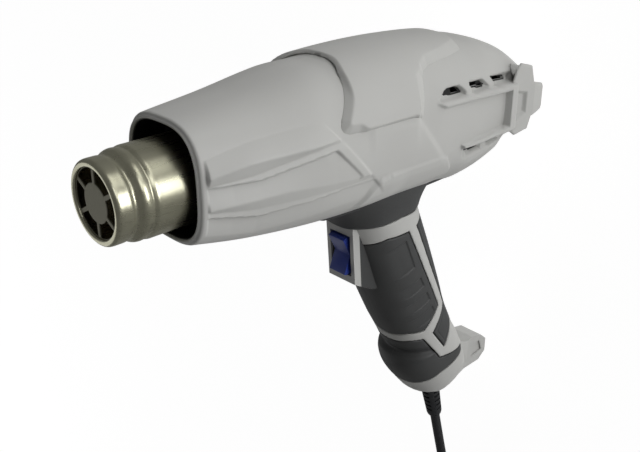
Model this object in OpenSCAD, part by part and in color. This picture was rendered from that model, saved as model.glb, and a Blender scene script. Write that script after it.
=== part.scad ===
// Pistol-grip hot air gun, standing on its tail: +Z runs along the barrel to the nozzle,
// +X is the top of the tool, the handle hangs toward -X and z = 0 is the floor under the stand.

/* [Barrel housing] */
// Height of the housing mouth above the stand face
mouth_z = 225.6; // [220:0.2:230]
// Height of the closed tail of the housing above the stand face
tail_z = 6; // [5:0.5:7]
// Widest width of the barrel housing
body_w = 74; // [72:1:78]
// From the barrel axis to the highest point of the housing
body_top = 38.5; // [37.5:0.5:41]
// From the barrel axis to the underside of the housing
body_bottom = 38.5; // [37.5:0.5:41]
// Wall thickness of the housing
wall = 2.5; // [2:0.1:3]
// Thickness of the saddle cover over the middle of the barrel
saddle_t = 1.4; // [1:0.1:2]
// Height of the raised side ribs
rib_h = 1.6; // [1:0.1:2.2]
// Depth of the pocket between the ribs of the nose
pocket_t = 1.4; // [0.8:0.1:1.6]

/* [Nozzle and heater] */
// Height of the nozzle tip above the stand face
nozzle_z = 257.6; // [252:0.2:262]
// Outer radius of the collar that push-on nozzles slide over
collar_r = 17.9; // [17:0.1:18.5]
// Outer radius of the main steel tube
tube_r = 19.6; // [19:0.1:20.2]
// Sheet thickness of the steel tube
tube_t = 0.8; // [0.6:0.1:1]
// Number of spokes in the outlet grille
spokes = 6; // [4:1:8]
// Radius of the closed disc in the middle of the outlet grille
disc_r = 8.5; // [7:0.1:9.5]
// Outer radius of the outlet windows
window_r = 14.4; // [13.5:0.1:14.8]
// Gap between the heater winding and the mica sleeve
heater_gap = 1.5; // [1:0.1:3]
// Number of turns in the heater winding
turns = 12; // [8:1:15]

/* [Motor and fan] */
// Radius of the motor can
motor_r = 14; // [13:0.1:14.8]
// Length of the motor can
motor_len = 36; // [32:1:40]
// Radius of the motor shaft
shaft_r = 1.15; // [1:0.05:1.5]
// Radius of the fan wheel
fan_r = 25.5; // [23:0.5:26.5]
// Number of fan blades
blades = 9; // [7:1:13]
// Outer radius of the fan shroud
shroud_r = 28.8; // [28.4:0.1:29.4]

/* [Handle] */
// Rake of the handle away from square to the barrel
rake = 23.3; // [21:0.1:25]
// Thickness of the rubber skin on the handle
rubber_t = 1.6; // [1.2:0.1:2]
// Depth of the finger panels in the grip pads
panel_t = 0.6; // [0.4:0.1:0.9]
// Largest width of the grip
grip_w = 41; // [39:0.5:44]
// Half width of the stand tab at the foot of the handle
tab_hw = 8; // [7:0.5:9]

/* [Switch] */
// Width of the rocker
rocker_w = 11; // [10:0.1:12]
// Length of the rocker
rocker_len = 27; // [25:0.5:28]
// Width of the switch bezel
bezel_w = 19; // [18:0.5:21]

/* [Mains cord] */
// Diameter of the cord
cord_d = 6; // [5.6:0.1:6.4]
// Length of the strain relief outside the foot
relief_len = 32; // [26:1:36]

/* [Hidden] */
grey = "#b3b3b0";
dark = "#3b3c3d";
steel = "#b9b3a2";
eps = 0.01;
fit = 0.15;
big = 400;

// Smooth curve through the rows of a table, column k against column 0
function seg(T, z, i = 0) = i >= len(T) - 2 || z <= T[i + 1][0] ? i : seg(T, z, i + 1);
function grad(T, i, k) = let(a = max(i - 1, 0), b = min(i + 1, len(T) - 1))
    (T[b][k] - T[a][k]) / (T[b][0] - T[a][0]);
function at(T, z, k) = let(i = seg(T, z), h = T[i + 1][0] - T[i][0], t = (z - T[i][0]) / h)
    (2 * t * t * t - 3 * t * t + 1) * T[i][k] + (t * t * t - 2 * t * t + t) * h * grad(T, i, k)
    + (3 * t * t - 2 * t * t * t) * T[i + 1][k] + (t * t * t - t * t) * h * grad(T, i + 1, k);
function clip(v, a, b) = min(max(v, a), b);

// Squarish oval with unlike top and bottom halves
function oval(t, b, w, n, m) = [for (j = [0:m - 1]) let(a = 360 * j / m, c = cos(a), s = sin(a),
    q = pow(pow(abs(c), n) + pow(abs(s), n), -1 / n)) [(t - b) / 2 + (t + b) / 2 * q * c, w * q * s]];

// Solid through a row of rings that all have the same number of points
module loft(rings) {
    m = len(rings[0]);
    n = len(rings);
    polyhedron(points = [for (r = rings) each r], faces = concat(
        [[for (j = [0:m - 1]) j]],
        [for (i = [0:n - 2], j = [0:m - 1]) let(k = (j + 1) % m)
            each [[i * m + j, (i + 1) * m + k, i * m + k], [i * m + j, (i + 1) * m + j, (i + 1) * m + k]]],
        [[for (j = [m - 1:-1:0]) (n - 1) * m + j]]), convexity = 6);
}

// Barrel: place along the barrel, then top, bottom, half width and squareness
body_rows = [for (r = [
    [0.000, 0.39, 0.47, 0.70, 2.6],
    [0.082, 0.69, 0.74, 0.83, 2.5],
    [0.210, 0.90, 0.97, 0.93, 2.4],
    [0.373, 0.985, 1.00, 1.00, 2.4],
    [0.537, 1.00, 0.985, 0.99, 2.4],
    [0.700, 0.95, 0.935, 0.96, 2.4],
    [0.865, 0.82, 0.82, 0.82, 2.6],
    [1.000, 0.73, 0.66, 0.68, 3.0]])
    [tail_z + r[0] * (mouth_z - tail_z), r[1] * body_top, r[2] * body_bottom, r[3] * body_w / 2, r[4]]];
body_m = 40;
body_n = 15;
function body_ring(z, off) = let(q = clip(z, tail_z, mouth_z)) [for (p = oval(at(body_rows, q, 1) + off,
    at(body_rows, q, 2) + off, at(body_rows, q, 3) + off, at(body_rows, q, 4), body_m)) [p[0], p[1], z]];
function body_stations(z0, z1, n) = [for (i = [0:n]) z0 + (z1 - z0) * i / n];
module body_solid(off, z0, z1, n = body_n) {
    loft([for (z = body_stations(z0, z1, n)) body_ring(z, off)]);
}
module body_outer() {
    loft(concat([body_ring(tail_z, -2.4)], [for (z = body_stations(tail_z + 1.2, mouth_z - 1.6, body_n))
        body_ring(z, 0)], [body_ring(mouth_z, -1)]));
}
module body_inner() {
    body_solid(-wall, tail_z + wall, mouth_z + 2);
}

// Handle: distance down the handle axis, then front, back, half width and squareness
axis_z = 120.8;
handle_rows = [for (r = [
    [30, 24, 24, 1.00, 2.3],
    [60, 22, 22, 1.00, 2.3],
    [90, 23, 21.5, 1.02, 2.3],
    [118, 22, 21, 0.98, 2.3],
    [130, 20.8, 20.5, 0.95, 2.3],
    [139, 20, 20.5, 0.93, 2.3],
    [152, 24.5, 21, 1.00, 2.3],
    [168, 23.5, 23, 1.00, 2.4],
    [192, 17, 24, 0.86, 2.4]])
    [r[0], r[1], r[2], r[3] * grip_w / 2, r[4]]];
// Side-view point, as x and z, from the distance down the handle and forward of its axis
function hp(s, u) = [-s * cos(rake) - u * sin(rake), axis_z - s * sin(rake) + u * cos(rake)];
handle_m = 28;
function handle_ring(s, off) = [for (p = oval(at(handle_rows, s, 1) + off, at(handle_rows, s, 2) + off,
    at(handle_rows, s, 3) + off, at(handle_rows, s, 4), handle_m))
    let(q = hp(s, p[0])) [q[0], p[1], q[1]]];
module handle_solid(off, s0 = 30, s1 = 190, n = 16) {
    loft([for (i = [0:n]) handle_ring(s0 + (s1 - s0) * i / n, off)]);
}

// Side-view outline, given as x and z, drawn out across the tool
module prism(pts, y0 = -big / 2, y1 = big / 2) {
    rotate([90, 0, 0]) translate([0, 0, -y1]) linear_extrude(y1 - y0) polygon(pts);
}
module both_sides() {
    children();
    mirror([0, 1, 0]) children();
}
module half(side) {
    translate([-big, side < 0 ? -big : 0, -big / 2]) cube([2 * big, big, 2 * big]);
}

// Outlines on the handle seen from the side
pad_edge = [hp(59, 40), hp(59, 11), hp(64, -2), hp(94, -4), hp(127, -7.5), hp(134.5, 8), hp(131.5, 16),
    hp(131.5, 40)];
strap_edge = [hp(66, -40), hp(66, -9), hp(94, -10), hp(131.5, -13.5), hp(141, 2.5), hp(156, -1),
    hp(149, -16), hp(149, -40)];
sole_line = [[-171, 90], [-170, 76], [-161, 58], [-157, 36], [-157, 10]];
boot_edge = concat([hp(137.5, 40), hp(138, 16), hp(140.5, 9.5), hp(160, 4.5), [-153, 34]],
    [[-157 + fit, 36], [-161 + fit, 58], [-170 + fit, 76], [-171 + fit, 110]]);
ring_line = [hp(44, 40), hp(46, 21), hp(49.3, 11), hp(52.3, 0), hp(59, -14), hp(63, -40)];
neck_zone = concat(ring_line, [[0, 20], [0, 190]]);
sole_bottom = [[-177, 95], [-180.6, 0]];

// Barrel housing and handle core, before the inside is cut out
module raised(h, pts) {
    intersection() {
        body_solid(h, tail_z, mouth_z - 4, 12);
        prism(pts);
    }
}
wing_hw = body_w / 2 + 0.4;
module wings() {
    intersection() {
        union() {
            prism([[13.9, 96], [11.2, 36], [7.6, 36], [10.4, 90]]);
            prism([[-11.4, 76], [-10.6, 36], [-14.2, 36], [-14.2, 74]]);
            prism([[11, 40], [11, 36], [-14, 36], [-14, 40]]);
        }
        rotate([0, 90, 0]) translate([0, 0, -20]) linear_extrude(40)
            polygon([for (p = [[20, 0], [20, 34.8], [36, 36.4], [60, wing_hw], [98, wing_hw], [98, 0]])
                [-p[0], p[1]], for (p = [[98, 0], [98, -wing_hw], [60, -wing_hw], [36, -36.4], [20, -34.8],
                [20, 0]]) [-p[0], p[1]]]);
    }
}
module housing_mass() {
    body_outer();
    wings();
    // Ribs of the nose
    raised(rib_h, [[4.6, 200], [10.6, 158], [7.2, 160], [1.8, 200]]);
    raised(rib_h, [[-10.6, 199], [-12.2, 137], [-14.2, 172], [-14.4, 198]]);
    difference() {
        union() {
            handle_solid(-rubber_t, 30, 190);
            difference() {
                handle_solid(0, 30, 190);
                prism(neck_zone);
                prism(pad_edge);
                prism(strap_edge);
                prism(boot_edge);
            }
        }
        prism(concat(sole_line, [[-300, 10], [-300, 90]]));
    }
}
module vents() {
    both_sides() for (z = [82, 64, 46.5]) {
        prism([[20.6, z + 6], [16.4, z + 8.6], [16.4, z - 5.4], [20.6, z - 6.4]], 22, 60);
    }
    both_sides() for (z = [64, 46]) {
        prism([[-16.6, z + 7.6], [-19.6, z + 6], [-19.6, z - 6], [-16.6, z - 7]], 22, 60);
    }
    for (i = [-2:2]) {
        translate([i * 4.6 - 1.1, -12, 0]) cube([2.2, 24, 12]);
    }
}
// Screw places, as x and z
screws = [[18, 30], [-22, 30], [25.6, 190], [-25.6, 190], hp(54, -12), hp(106, -12.5), hp(163, 12)];
screw_seat = [14, 14, 9, 9, 11, 9, 10];
module bosses(side) {
    for (i = [0:len(screws) - 1]) {
        translate([screws[i][0], 0, screws[i][1]]) rotate([side < 0 ? 90 : -90, 0, 0])
            cylinder(r = side < 0 ? 3 : 4.7, h = 45, $fn = 24);
    }
}
fan_z = 49;
motor_z = 67;
shroud_top = 112;
tube_z = 108;
liner_z = 203;
module inner_ribs() {
    difference() {
        union() {
            translate([-60, -60, 58]) cube([120, 120, 2.2]);
            translate([-60, -60, 118]) cube([120, 120, 2.2]);
        }
        translate([0, 0, 50]) cylinder(r = shroud_r + fit, h = 12, $fn = 64);
        translate([0, 0, 100]) cylinder(r = tube_r + fit, h = 30, $fn = 64);
        prism([hp(20, 17), hp(20, -17), hp(70, -17), hp(70, 17)]);
    }
}
// Ledges in the handle that hold the control board, the terminals and the cord clamp
module handle_ledges() {
    for (s = [board_s + 2, board_s + 22]) {
        prism([hp(s, board_u + 2.6), hp(s, board_u - 2.6), hp(s + 3, board_u - 2.6), hp(s + 3, board_u + 2.6)]);
    }
    prism([hp(block_s - 2, block_u - 4), hp(block_s - 2, block_u + 4), hp(block_s, block_u + 4),
        hp(block_s, block_u - 4)]);
}
// Cradle under the cord and the two posts for the clamp screws, on the left side only
module clamp_seat() {
    place_cord() translate([0, 0, clamp_z]) {
        translate([-13, -20, 0]) cube([26, 20 - cord_d / 2 - 0.02, 7]);
        for (x = [-9.5, 9.5]) {
            translate([x - 3.5, -20, 0]) cube([7, 40, 7]);
        }
    }
}
module housing(side) {
    color(grey) difference() {
        intersection() {
            half(side);
            union() {
                difference() {
                    housing_mass();
                    body_inner();
                    handle_solid(-rubber_t - wall, 24, 200);
                }
                intersection() {
                    body_solid(-wall + 0.2, tail_z + 1, mouth_z - 6);
                    union() {
                        inner_ribs();
                        bosses(side);
                    }
                }
                intersection() {
                    handle_solid(-rubber_t - wall + 0.2, 40, 176);
                    bosses(side);
                }
                intersection() {
                    handle_solid(-rubber_t - wall + 0.2, 40, 176);
                    union() {
                        difference() {
                            handle_ledges();
                            translate([-big / 2, -9.8, 0]) cube([big / 2, 19.6, 150]);
                            along_handle(0, board_u) translate([0, -20, -board_t / 2 - 0.1])
                                cube([110, 40, board_t + 0.2]);
                        }
                        if (side < 0) {
                            difference() {
                                clamp_seat();
                                difference() {
                                    prism(concat(sole_line, [[-300, 10], [-300, 90]]));
                                    handle_solid(-rubber_t - wall - fit, 30, 200);
                                }
                            }
                        }
                    }
                }
            }
        }
        vents();
        // Pocket between the nose ribs
        difference() {
            prism([[4.2, 222], [1.6, 200], [6.6, 161], [-8.8, 145.5], [-9.8, 147.5], [-6.2, 204], [-6, 222]]);
            body_solid(-pocket_t, tail_z, mouth_z + 4, 12);
        }
        // Switch opening
        prism([[switch_x + 15.2, 90], [switch_x + 15.2, 140], [switch_x - 15.2, 140], [switch_x - 15.2, 90]],
            -cheek_out - 0.4, cheek_out + 0.4);
        // Screw holes
        for (i = [0:len(screws) - 1]) {
            translate([screws[i][0], 0, screws[i][1]]) rotate([-90, 0, 0]) {
                if (side > 0) {
                    translate([0, 0, -1]) cylinder(r = 1.75, h = 60, $fn = 24);
                    translate([0, 0, screw_seat[i]]) cylinder(r = 3.2, h = 60, $fn = 24);
                } else {
                    translate([0, 0, -screw_grip]) cylinder(r = 1.55, h = screw_grip + 1, $fn = 24);
                }
            }
        }
        clamp_holes(1.3, 9);
    }
}
screw_grip = 8;
module housing_left() {
    housing(-1);
}
module housing_right() {
    housing(1);
}
module housing_screws() {
    color("silver") for (i = [0:len(screws) - 1]) {
        translate([screws[i][0], 0, screws[i][1]]) rotate([-90, 0, 0]) {
            translate([0, 0, -screw_grip + 0.5]) cylinder(r = 1.5, h = screw_grip + screw_seat[i] - 0.5, $fn = 24);
            translate([0, 0, screw_seat[i]]) difference() {
                cylinder(r = 2.9, h = 2.2, $fn = 24);
                translate([-2, -0.4, 1.2]) cube([4, 0.8, 2]);
                translate([-0.4, -2, 1.2]) cube([0.8, 4, 2]);
            }
        }
    }
}

// Saddle cover over the middle of the barrel
saddle_edge = [[60, 138], [38, 139], [34.5, 144], [29.2, 147.5], [23.5, 151.5], [17.5, 155.5], [12.6, 154],
    [11.4, 143], [11, 112], [9.4, 107.6], [22, 103.8], [29, 100.5], [30.3, 96], [31.4, 61], [34, 57], [60, 57]];
module saddle_cover() {
    color(grey) difference() {
        intersection() {
            body_solid(saddle_t, 50, 162, 9);
            prism(saddle_edge);
        }
        body_outer();
    }
}

// Rear stand with its horns and the bar across the tail
bumper_edge = [[21.5, 38.4], [21.8, 30], [18.6, 18], [8.4, 13.6], [4, 2.4], [2.4, 0], [-8.4, 0], [-10, 2.4],
    [-10.8, 13.8], [-16.9, 16.3], [-18.4, 27], [-14.4, 38.2], [-14.4, 35.6], [11.2, 35.6]];
module stand_bumper() {
    color(grey) difference() {
        union() {
            both_sides() difference() {
                prism(bumper_edge, 23, 34.6);
                prism([[5.5, 30], [1.4, 18.6], [-9, 18.8], [-10.8, 30.6]], 33.4, 40);
            }
            prism([[3.6, 1.2], [2.4, 0], [-8.4, 0], [-9.6, 1.2], [-9.6, tail_z - fit], [3.6, tail_z - fit]], -24, 24);
        }
        both_sides() prism([[30, -1], [30, 6], [-30, 6], [-30, -1]], 34, 40);
        body_fit();
        wings_fit();
    }
}
module body_fit() {
    loft(concat([body_ring(tail_z - fit, -2.4 + fit)], [for (z = body_stations(tail_z + 1, mouth_z - 1.6,
        body_n)) body_ring(z, fit)]));
}
module wings_fit() {
    both_sides() translate([-16, 0, 35.6 + fit]) cube([30, 40, 70]);
}

// Rubber neck between barrel and handle, with the strip under the barrel
neck_rows = [[27, 150, 60, 27.5], [33, 143, 67, 25.8], [39, 136, 71.5, 23.6], [45, 130.5, 74.2, 21.8],
    [50, 127, 75, 21.0], [56, 123.5, 72.5, 20.7], [62, 120, 69.8, 20.6]];
module neck_loft() {
    loft([for (i = [0:9]) let(x = 27 + 35 * i / 9, f = at(neck_rows, x, 1), b = at(neck_rows, x, 2),
        c = (f + b) / 2) [for (p = oval(f - c, c - b, at(neck_rows, x, 3) * grip_w / 41, 2.3, handle_m))
        [-x, p[1], c + p[0]]]]);
}
module neck_sleeve() {
    color(dark) difference() {
        union() {
            intersection() {
                neck_loft();
                prism([for (p = neck_zone) [p[0] + fit, p[1]]]);
            }
            intersection() {
                body_solid(1.1, 40, 162, 9);
                prism([[-27.5, 48], [-27.5, 152], [-60, 152], [-60, 48]]);
            }
        }
        body_outer();
        handle_solid(-rubber_t, 30, 190);
        bezel_mass();
    }
}
module skin(pts) {
    intersection() {
        difference() {
            handle_solid(0, 30, 190);
            handle_solid(-rubber_t, 30, 190);
        }
        prism(pts);
    }
}
// Shallow finger panels in the pads, as distances down the handle and forward of its axis
panels = [[[67, 14], [67, 1.5], [87, 1.5], [88, 14]], [[95.5, 14], [96, 0], [104, -1], [104, 14]],
    [[108.5, 14], [109, -1.5], [116.5, -2.5], [117, 14]], [[121, 14], [121.5, -2.5], [127, -3.5], [130, 2], [130, 14]]];
module finger_panels() {
    difference() {
        for (p = panels) {
            prism([for (q = p) hp(q[0], q[1])]);
        }
        handle_solid(-panel_t, 30, 190);
    }
}
module grip_pad(side) {
    color(dark) intersection() {
        half(side);
        difference() {
            skin(pad_edge);
            bezel_mass(fit);
            finger_panels();
        }
    }
}
module grip_pad_left() {
    grip_pad(-1);
}
module grip_pad_right() {
    grip_pad(1);
}
module back_strap() {
    color(dark) difference() {
        skin(strap_edge);
        arm();
    }
}
module base_boot(side) {
    color(dark) intersection() {
        half(side);
        difference() {
            skin(boot_edge);
            arm();
        }
    }
}
module base_boot_left() {
    base_boot(-1);
}
module base_boot_right() {
    base_boot(1);
}

// Foot of the handle with the tab that the tool stands on
module arm() {
    hull() {
        translate([-178.5, -15, 45]) cube([21, 30, 1]);
        translate([-180, -tab_hw, 18]) cube([28, 2 * tab_hw, 1]);
    }
}
tab_edge = [[-151, 22], [-149.8, 14], [-153, 5], [-160, 0], [-174, 0], [-181, 6], [-181.5, 22]];
module foot_cap() {
    color(grey) difference() {
        union() {
            intersection() {
                handle_solid(0, 120, 190.6);
                prism(concat(sole_line, [sole_bottom[1], sole_bottom[0]]));
            }
            difference() {
                arm();
                handle_solid(0, 100, 190);
            }
            difference() {
                prism(tab_edge, -tab_hw, tab_hw);
                both_sides() prism([[-157, 14.5], [-158.5, 6.5], [-170, 4], [-172.5, 14]], tab_hw - 1, tab_hw + 5);
            }
        }
        intersection() {
            handle_solid(-rubber_t - wall, 120, 200);
            prism([[-100, -40], [-100, 140], [-173, 140], [-176.5, -40]]);
        }
        handle_solid(fit - rubber_t, 30, 174);
        place_cord() translate([0, 0, -30]) cylinder(r = relief_r + fit, h = 60, $fn = 48);
        place_cord() translate([0, 0, -20]) cylinder(r = relief_r + 3 + fit, h = 20 - 4.2, $fn = 48);
    }
}

// Steel nozzle tube, turned about the barrel axis
module nozzle_tube() {
    z = nozzle_z;
    c = collar_r;
    t = tube_r;
    w = tube_t;
    color(steel) rotate_extrude($fn = 96) polygon([[t, tube_z], [t, z - 17], [t - 0.5, z - 16.2],
        [t - 0.5, z - 15], [t - 0.1, z - 13.6], [t - 0.1, z - 11.6], [t - 0.8, z - 10.2], [c - 0.5, z - 9],
        [c - 0.6, z - 8], [c, z - 7], [c, z - 1.2], [c - 0.4, z - 0.4], [c - 1.2, z], [c - 1.8, z - 0.5],
        [c - 1.8, z - 1.6], [c - w, z - 1.6], [c - w, z - 7], [c - w - 0.6, z - 8], [c - w - 0.5, z - 9],
        [t - w - 0.8, z - 10.2], [t - w - 0.1, z - 11.6], [t - w - 0.1, z - 13.6], [t - w - 0.5, z - 15],
        [t - w - 0.5, z - 16.2], [t - w, z - 17], [t - w, tube_z]]);
}
grille_z = nozzle_z - 2.5;
module outlet_grille() {
    color("#8f8d7c") translate([0, 0, grille_z]) {
        difference() {
            cylinder(r = collar_r - tube_t, h = 0.9, $fn = 96);
            translate([0, 0, -1]) cylinder(r = window_r, h = 3, $fn = 96);
        }
        cylinder(r = disc_r, h = 0.9, $fn = 96);
        for (i = [0:spokes - 1]) {
            rotate([0, 0, 360 / spokes * i]) translate([disc_r - 0.4, -1.2, 0])
                cube([window_r - disc_r + 0.8, 2.4, 0.9]);
        }
    }
}
// Black baffle that carries the tube in the mouth
module mouth_liner() {
    color("#1c1c1c") difference() {
        body_solid(-wall - fit, liner_z, liner_z + 6, 2);
        translate([0, 0, liner_z - 1]) cylinder(r = tube_r + 0.02, h = 8, $fn = 96);
    }
}
module mica_sleeve() {
    color("#c9b98a") translate([0, 0, tube_z + 2]) difference() {
        cylinder(r = tube_r - tube_t - 0.05, h = nozzle_z - 20 - tube_z, $fn = 64);
        translate([0, 0, -1]) cylinder(r = tube_r - tube_t - mica_t, h = nozzle_z - 15 - tube_z, $fn = 64);
    }
}
core_z = 122;
mica_t = 0.6;
wire_r = 0.8;
core_r = tube_r - tube_t - mica_t - heater_gap - 2 * wire_r - 0.1;
core_len = 104;
module heater_core() {
    color("#e5dfcf") translate([0, 0, core_z]) {
        for (a = [0, 60, 120]) {
            rotate([0, 0, a]) translate([-core_r, -0.6, 0]) cube([2 * core_r, 1.2, core_len]);
        }
        for (h = [0, core_len - 1.5]) {
            translate([0, 0, h]) for (a = [30, 90, 150]) {
                rotate([0, 0, a]) translate([-(tube_r - tube_t - mica_t - 0.02), -1.5, 0])
                    cube([2 * (tube_r - tube_t - mica_t - 0.02), 3, 1.5]);
            }
        }
    }
}
module heater_winding() {
    pitch = (core_len - 14) / turns;
    color("#9a7f6a") for (i = [0:turns - 1]) {
        translate([0, 0, core_z + 7 + pitch * (i + 0.5)]) rotate_extrude($fn = 48)
            translate([core_r + wire_r + 0.1, 0]) circle(r = wire_r, $fn = 16);
    }
}
module thermal_cutout() {
    color("#d8d8d8") translate([0, 0, core_z - 6]) {
        translate([-4, -2.2, 0]) cube([8, 4.4, 6 - eps]);
        for (y = [-1.4, 1.4]) {
            translate([-3, y, -7]) cylinder(r = 0.4, h = 7.5, $fn = 16);
        }
    }
}

// Fan shroud that holds the motor on four vanes and feeds the heater tube
module fan_shroud() {
    t = 1.5;
    color("#2a2a2a") {
        rotate_extrude($fn = 72) polygon([[shroud_r, 46], [shroud_r, 70], [tube_r + 1.9, 104],
            [tube_r + 1.9, shroud_top], [tube_r + fit, shroud_top], [tube_r + fit, 105.5],
            [shroud_r - t, 69.5], [shroud_r - t, 46]]);
        for (a = [45:90:315]) {
            rotate([0, 0, a]) translate([motor_r + 1.2, -0.8, motor_z + 2]) cube([shroud_r - motor_r - 2.2 - 1.4, 1.6, 8]);
        }
        translate([0, 0, motor_z + 2]) difference() {
            cylinder(r = motor_r + 1.4, h = 8, $fn = 48);
            translate([0, 0, -1]) cylinder(r = motor_r + 0.05, h = 10, $fn = 48);
        }
    }
}
module motor_can() {
    color("silver") translate([0, 0, motor_z]) difference() {
        union() {
            cylinder(r = motor_r, h = motor_len, $fn = 64);
            cylinder(r = 4, h = motor_len + 2, $fn = 32);
        }
        translate([0, 0, -1]) cylinder(r = motor_r - 1, h = motor_len, $fn = 64);
        cylinder(r = shaft_r + 0.05, h = motor_len + 5, $fn = 32);
    }
}
module motor_magnets() {
    color("#333338") translate([0, 0, motor_z + 3]) difference() {
        cylinder(r = motor_r - 1.05, h = motor_len - 7, $fn = 64);
        translate([0, 0, -1]) cylinder(r = motor_r - 4, h = motor_len, $fn = 64);
        translate([-4, -20, -1]) cube([8, 40, motor_len]);
    }
}
module motor_end_cap() {
    color("#222222") translate([0, 0, motor_z - 2]) difference() {
        union() {
            cylinder(r = motor_r - 0.2, h = 2, $fn = 48);
            cylinder(r = motor_r - 1.05, h = 4, $fn = 48);
            for (y = [-6, 6]) {
                translate([-0.4 - 6, y - 1, -1.6]) cube([0.8, 2, 2]);
            }
        }
        translate([0, 0, -1]) cylinder(r = shaft_r + 0.05, h = 8, $fn = 32);
        translate([0, 0, 2]) cylinder(r = motor_r - 2.4, h = 4, $fn = 48);
    }
}
module rotor() {
    color("#7d6a52") {
        translate([0, 0, fan_z - 1]) cylinder(r = shaft_r, h = motor_z + motor_len + 4 - fan_z, $fn = 32);
        translate([0, 0, motor_z + 9]) cylinder(r = motor_r - 4.8, h = motor_len - 18, $fn = 48);
        translate([0, 0, motor_z + 4]) cylinder(r = 4.2, h = 5, $fn = 32);
    }
}
module fan_wheel() {
    color("#2f2f31") translate([0, 0, fan_z]) difference() {
        union() {
            cylinder(r = 5, h = 13, $fn = 32);
            translate([0, 0, 11.5]) cylinder(r = fan_r, h = 1.5, $fn = 72);
            for (i = [0:blades - 1]) {
                rotate([0, 0, 360 / blades * i]) linear_extrude(12) polygon([[4.6, -0.6],
                    [fan_r * 0.5, 2.4], [fan_r * 0.78, 6.6], [fan_r * 0.9, 11], [fan_r * 0.87, 11.8],
                    [fan_r * 0.74, 8], [fan_r * 0.48, 4], [4.6, 0.6]]);
            }
        }
        translate([0, 0, -1]) cylinder(r = shaft_r, h = 20, $fn = 32);
    }
}

// Rocker switch in the front of the handle
switch_x = -67.3;
pivot_z = 118.8;
bezel_front = 123.2;
cheek_in = rocker_w / 2 + 0.25;
cheek_out = cheek_in + 1.2;
module switch_body() {
    color("#1f1f21") difference() {
        union() {
            translate([switch_x - 13, -cheek_out, 90]) cube([26, 2 * cheek_out, 20.5]);
            both_sides() translate([switch_x - 5, cheek_in, 108]) cube([10, cheek_out - cheek_in, 13.6]);
            for (i = [-1:1]) {
                translate([switch_x + 8 * i - 0.4, -2.4, 85]) cube([0.8, 4.8, 5.2]);
            }
        }
        translate([switch_x, -20, pivot_z]) rotate([-90, 0, 0]) cylinder(r = 1.55, h = 40, $fn = 32);
    }
}
module switch_rocker() {
    h = rocker_len / 2;
    color("#2b3f8f") {
        intersection() {
            prism([[switch_x + h, 114.6], [switch_x + h, 126.4], [switch_x + h - 1.5, 126.4], [switch_x, 121.6],
                [switch_x - h + 1.5, 125.4], [switch_x - h, 125.4], [switch_x - h, 114.6]], -rocker_w / 2,
                rocker_w / 2);
            translate([switch_x, -20, pivot_z]) rotate([-90, 0, 0]) cylinder(r = h + 1, h = 40, $fn = 72);
        }
        translate([switch_x, -cheek_out + 0.1, pivot_z]) rotate([-90, 0, 0])
            cylinder(r = 1.5, h = 2 * cheek_out - 0.2, $fn = 32);
    }
}
module bezel_mass(g = 0) {
    w = bezel_w / 2 + g;
    prism([[-49.4 + g, 112], [-49.4 + g, bezel_front + 1 + g], [-83, bezel_front - 1.4 + g],
        [-90.4 - g, 108.5 + g], [-92 - g, 100]], -w, w);
}
module switch_bezel() {
    color(grey) difference() {
        bezel_mass();
        handle_solid(0.02, 30, 150);
        prism([[switch_x + rocker_len / 2 + 1.5, 80], [switch_x + rocker_len / 2 + 1.5, 140],
            [switch_x - rocker_len / 2 - 1.5, 140], [switch_x - rocker_len / 2 - 1.5, 80]],
            -cheek_out - 0.1, cheek_out + 0.1);
    }
}

// Parts inside the handle
board_s = 68;
board_u = -11.5;
board_t = 1.6;
board_hw = 12.2;
board_len = 29;
block_s = 122;
block_u = -6.6;
module along_handle(s, u) {
    q = hp(s, u);
    translate([q[0], 0, q[1]]) rotate([0, 180 - rake, 0]) children();
}
module control_board() {
    color("#2f6b45") along_handle(board_s, board_u) {
        translate([0, -board_hw, -board_t / 2]) cube([board_len, 2 * board_hw, board_t]);
        for (p = [[5, -7], [5, 3], [14, -7], [14, 3]]) {
            translate([p[0], p[1], -board_t / 2 - 4.8]) cube([5, 3.2, 5]);
        }
    }
}
module terminal_block() {
    color("#e8e6df") along_handle(block_s + eps, block_u) difference() {
        translate([0, -11.4, -5]) cube([12, 22.8, 10]);
        for (y = [-5.5, 5.5]) {
            translate([-1, y, 0]) rotate([0, 90, 0]) cylinder(r = 1.6, h = 14, $fn = 24);
        }
    }
}

// The cord leaves the foot along its own axis
cord_angle = 15;
cord_x = -180.5;
cord_z = 45.4;
module place_cord() {
    translate([cord_x, 0, cord_z]) rotate([0, -90 - cord_angle, 0]) children();
}
relief_r = 6;
module strain_relief() {
    h = relief_len;
    color("#2b2b2d") place_cord() difference() {
        union() {
            translate([0, 0, -4.2 - 3]) cylinder(r = relief_r + 2.8, h = 3 - fit, $fn = 48);
            translate([0, 0, -7.2]) cylinder(r = relief_r, h = 9, $fn = 48);
            rotate_extrude($fn = 48) polygon([[0, 0], [relief_r, 0], [relief_r - 1.2, h - 3], [relief_r - 1.6, h - 1.4],
                [cord_d / 2 + 0.4, h], [0, h]]);
        }
        translate([0, 0, -10]) cylinder(r = cord_d / 2, h = h + 20, $fn = 32);
        for (i = [0:5], a = [0:90:270]) {
            rotate([0, 0, a]) translate([-2.6, cord_d / 2 + 1, 4 + i * 3.9]) cube([5.2, 6, 1.7]);
        }
    }
}
clamp_z = -22;
clamp_top = cord_d / 2 + 3.4;
module clamp_holes(r, deep) {
    place_cord() translate([0, 0, clamp_z + 3.5]) for (x = [-9.5, 9.5]) {
        translate([x, -deep, 0]) rotate([-90, 0, 0]) cylinder(r = r, h = deep + clamp_top + 1, $fn = 24);
    }
}
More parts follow.
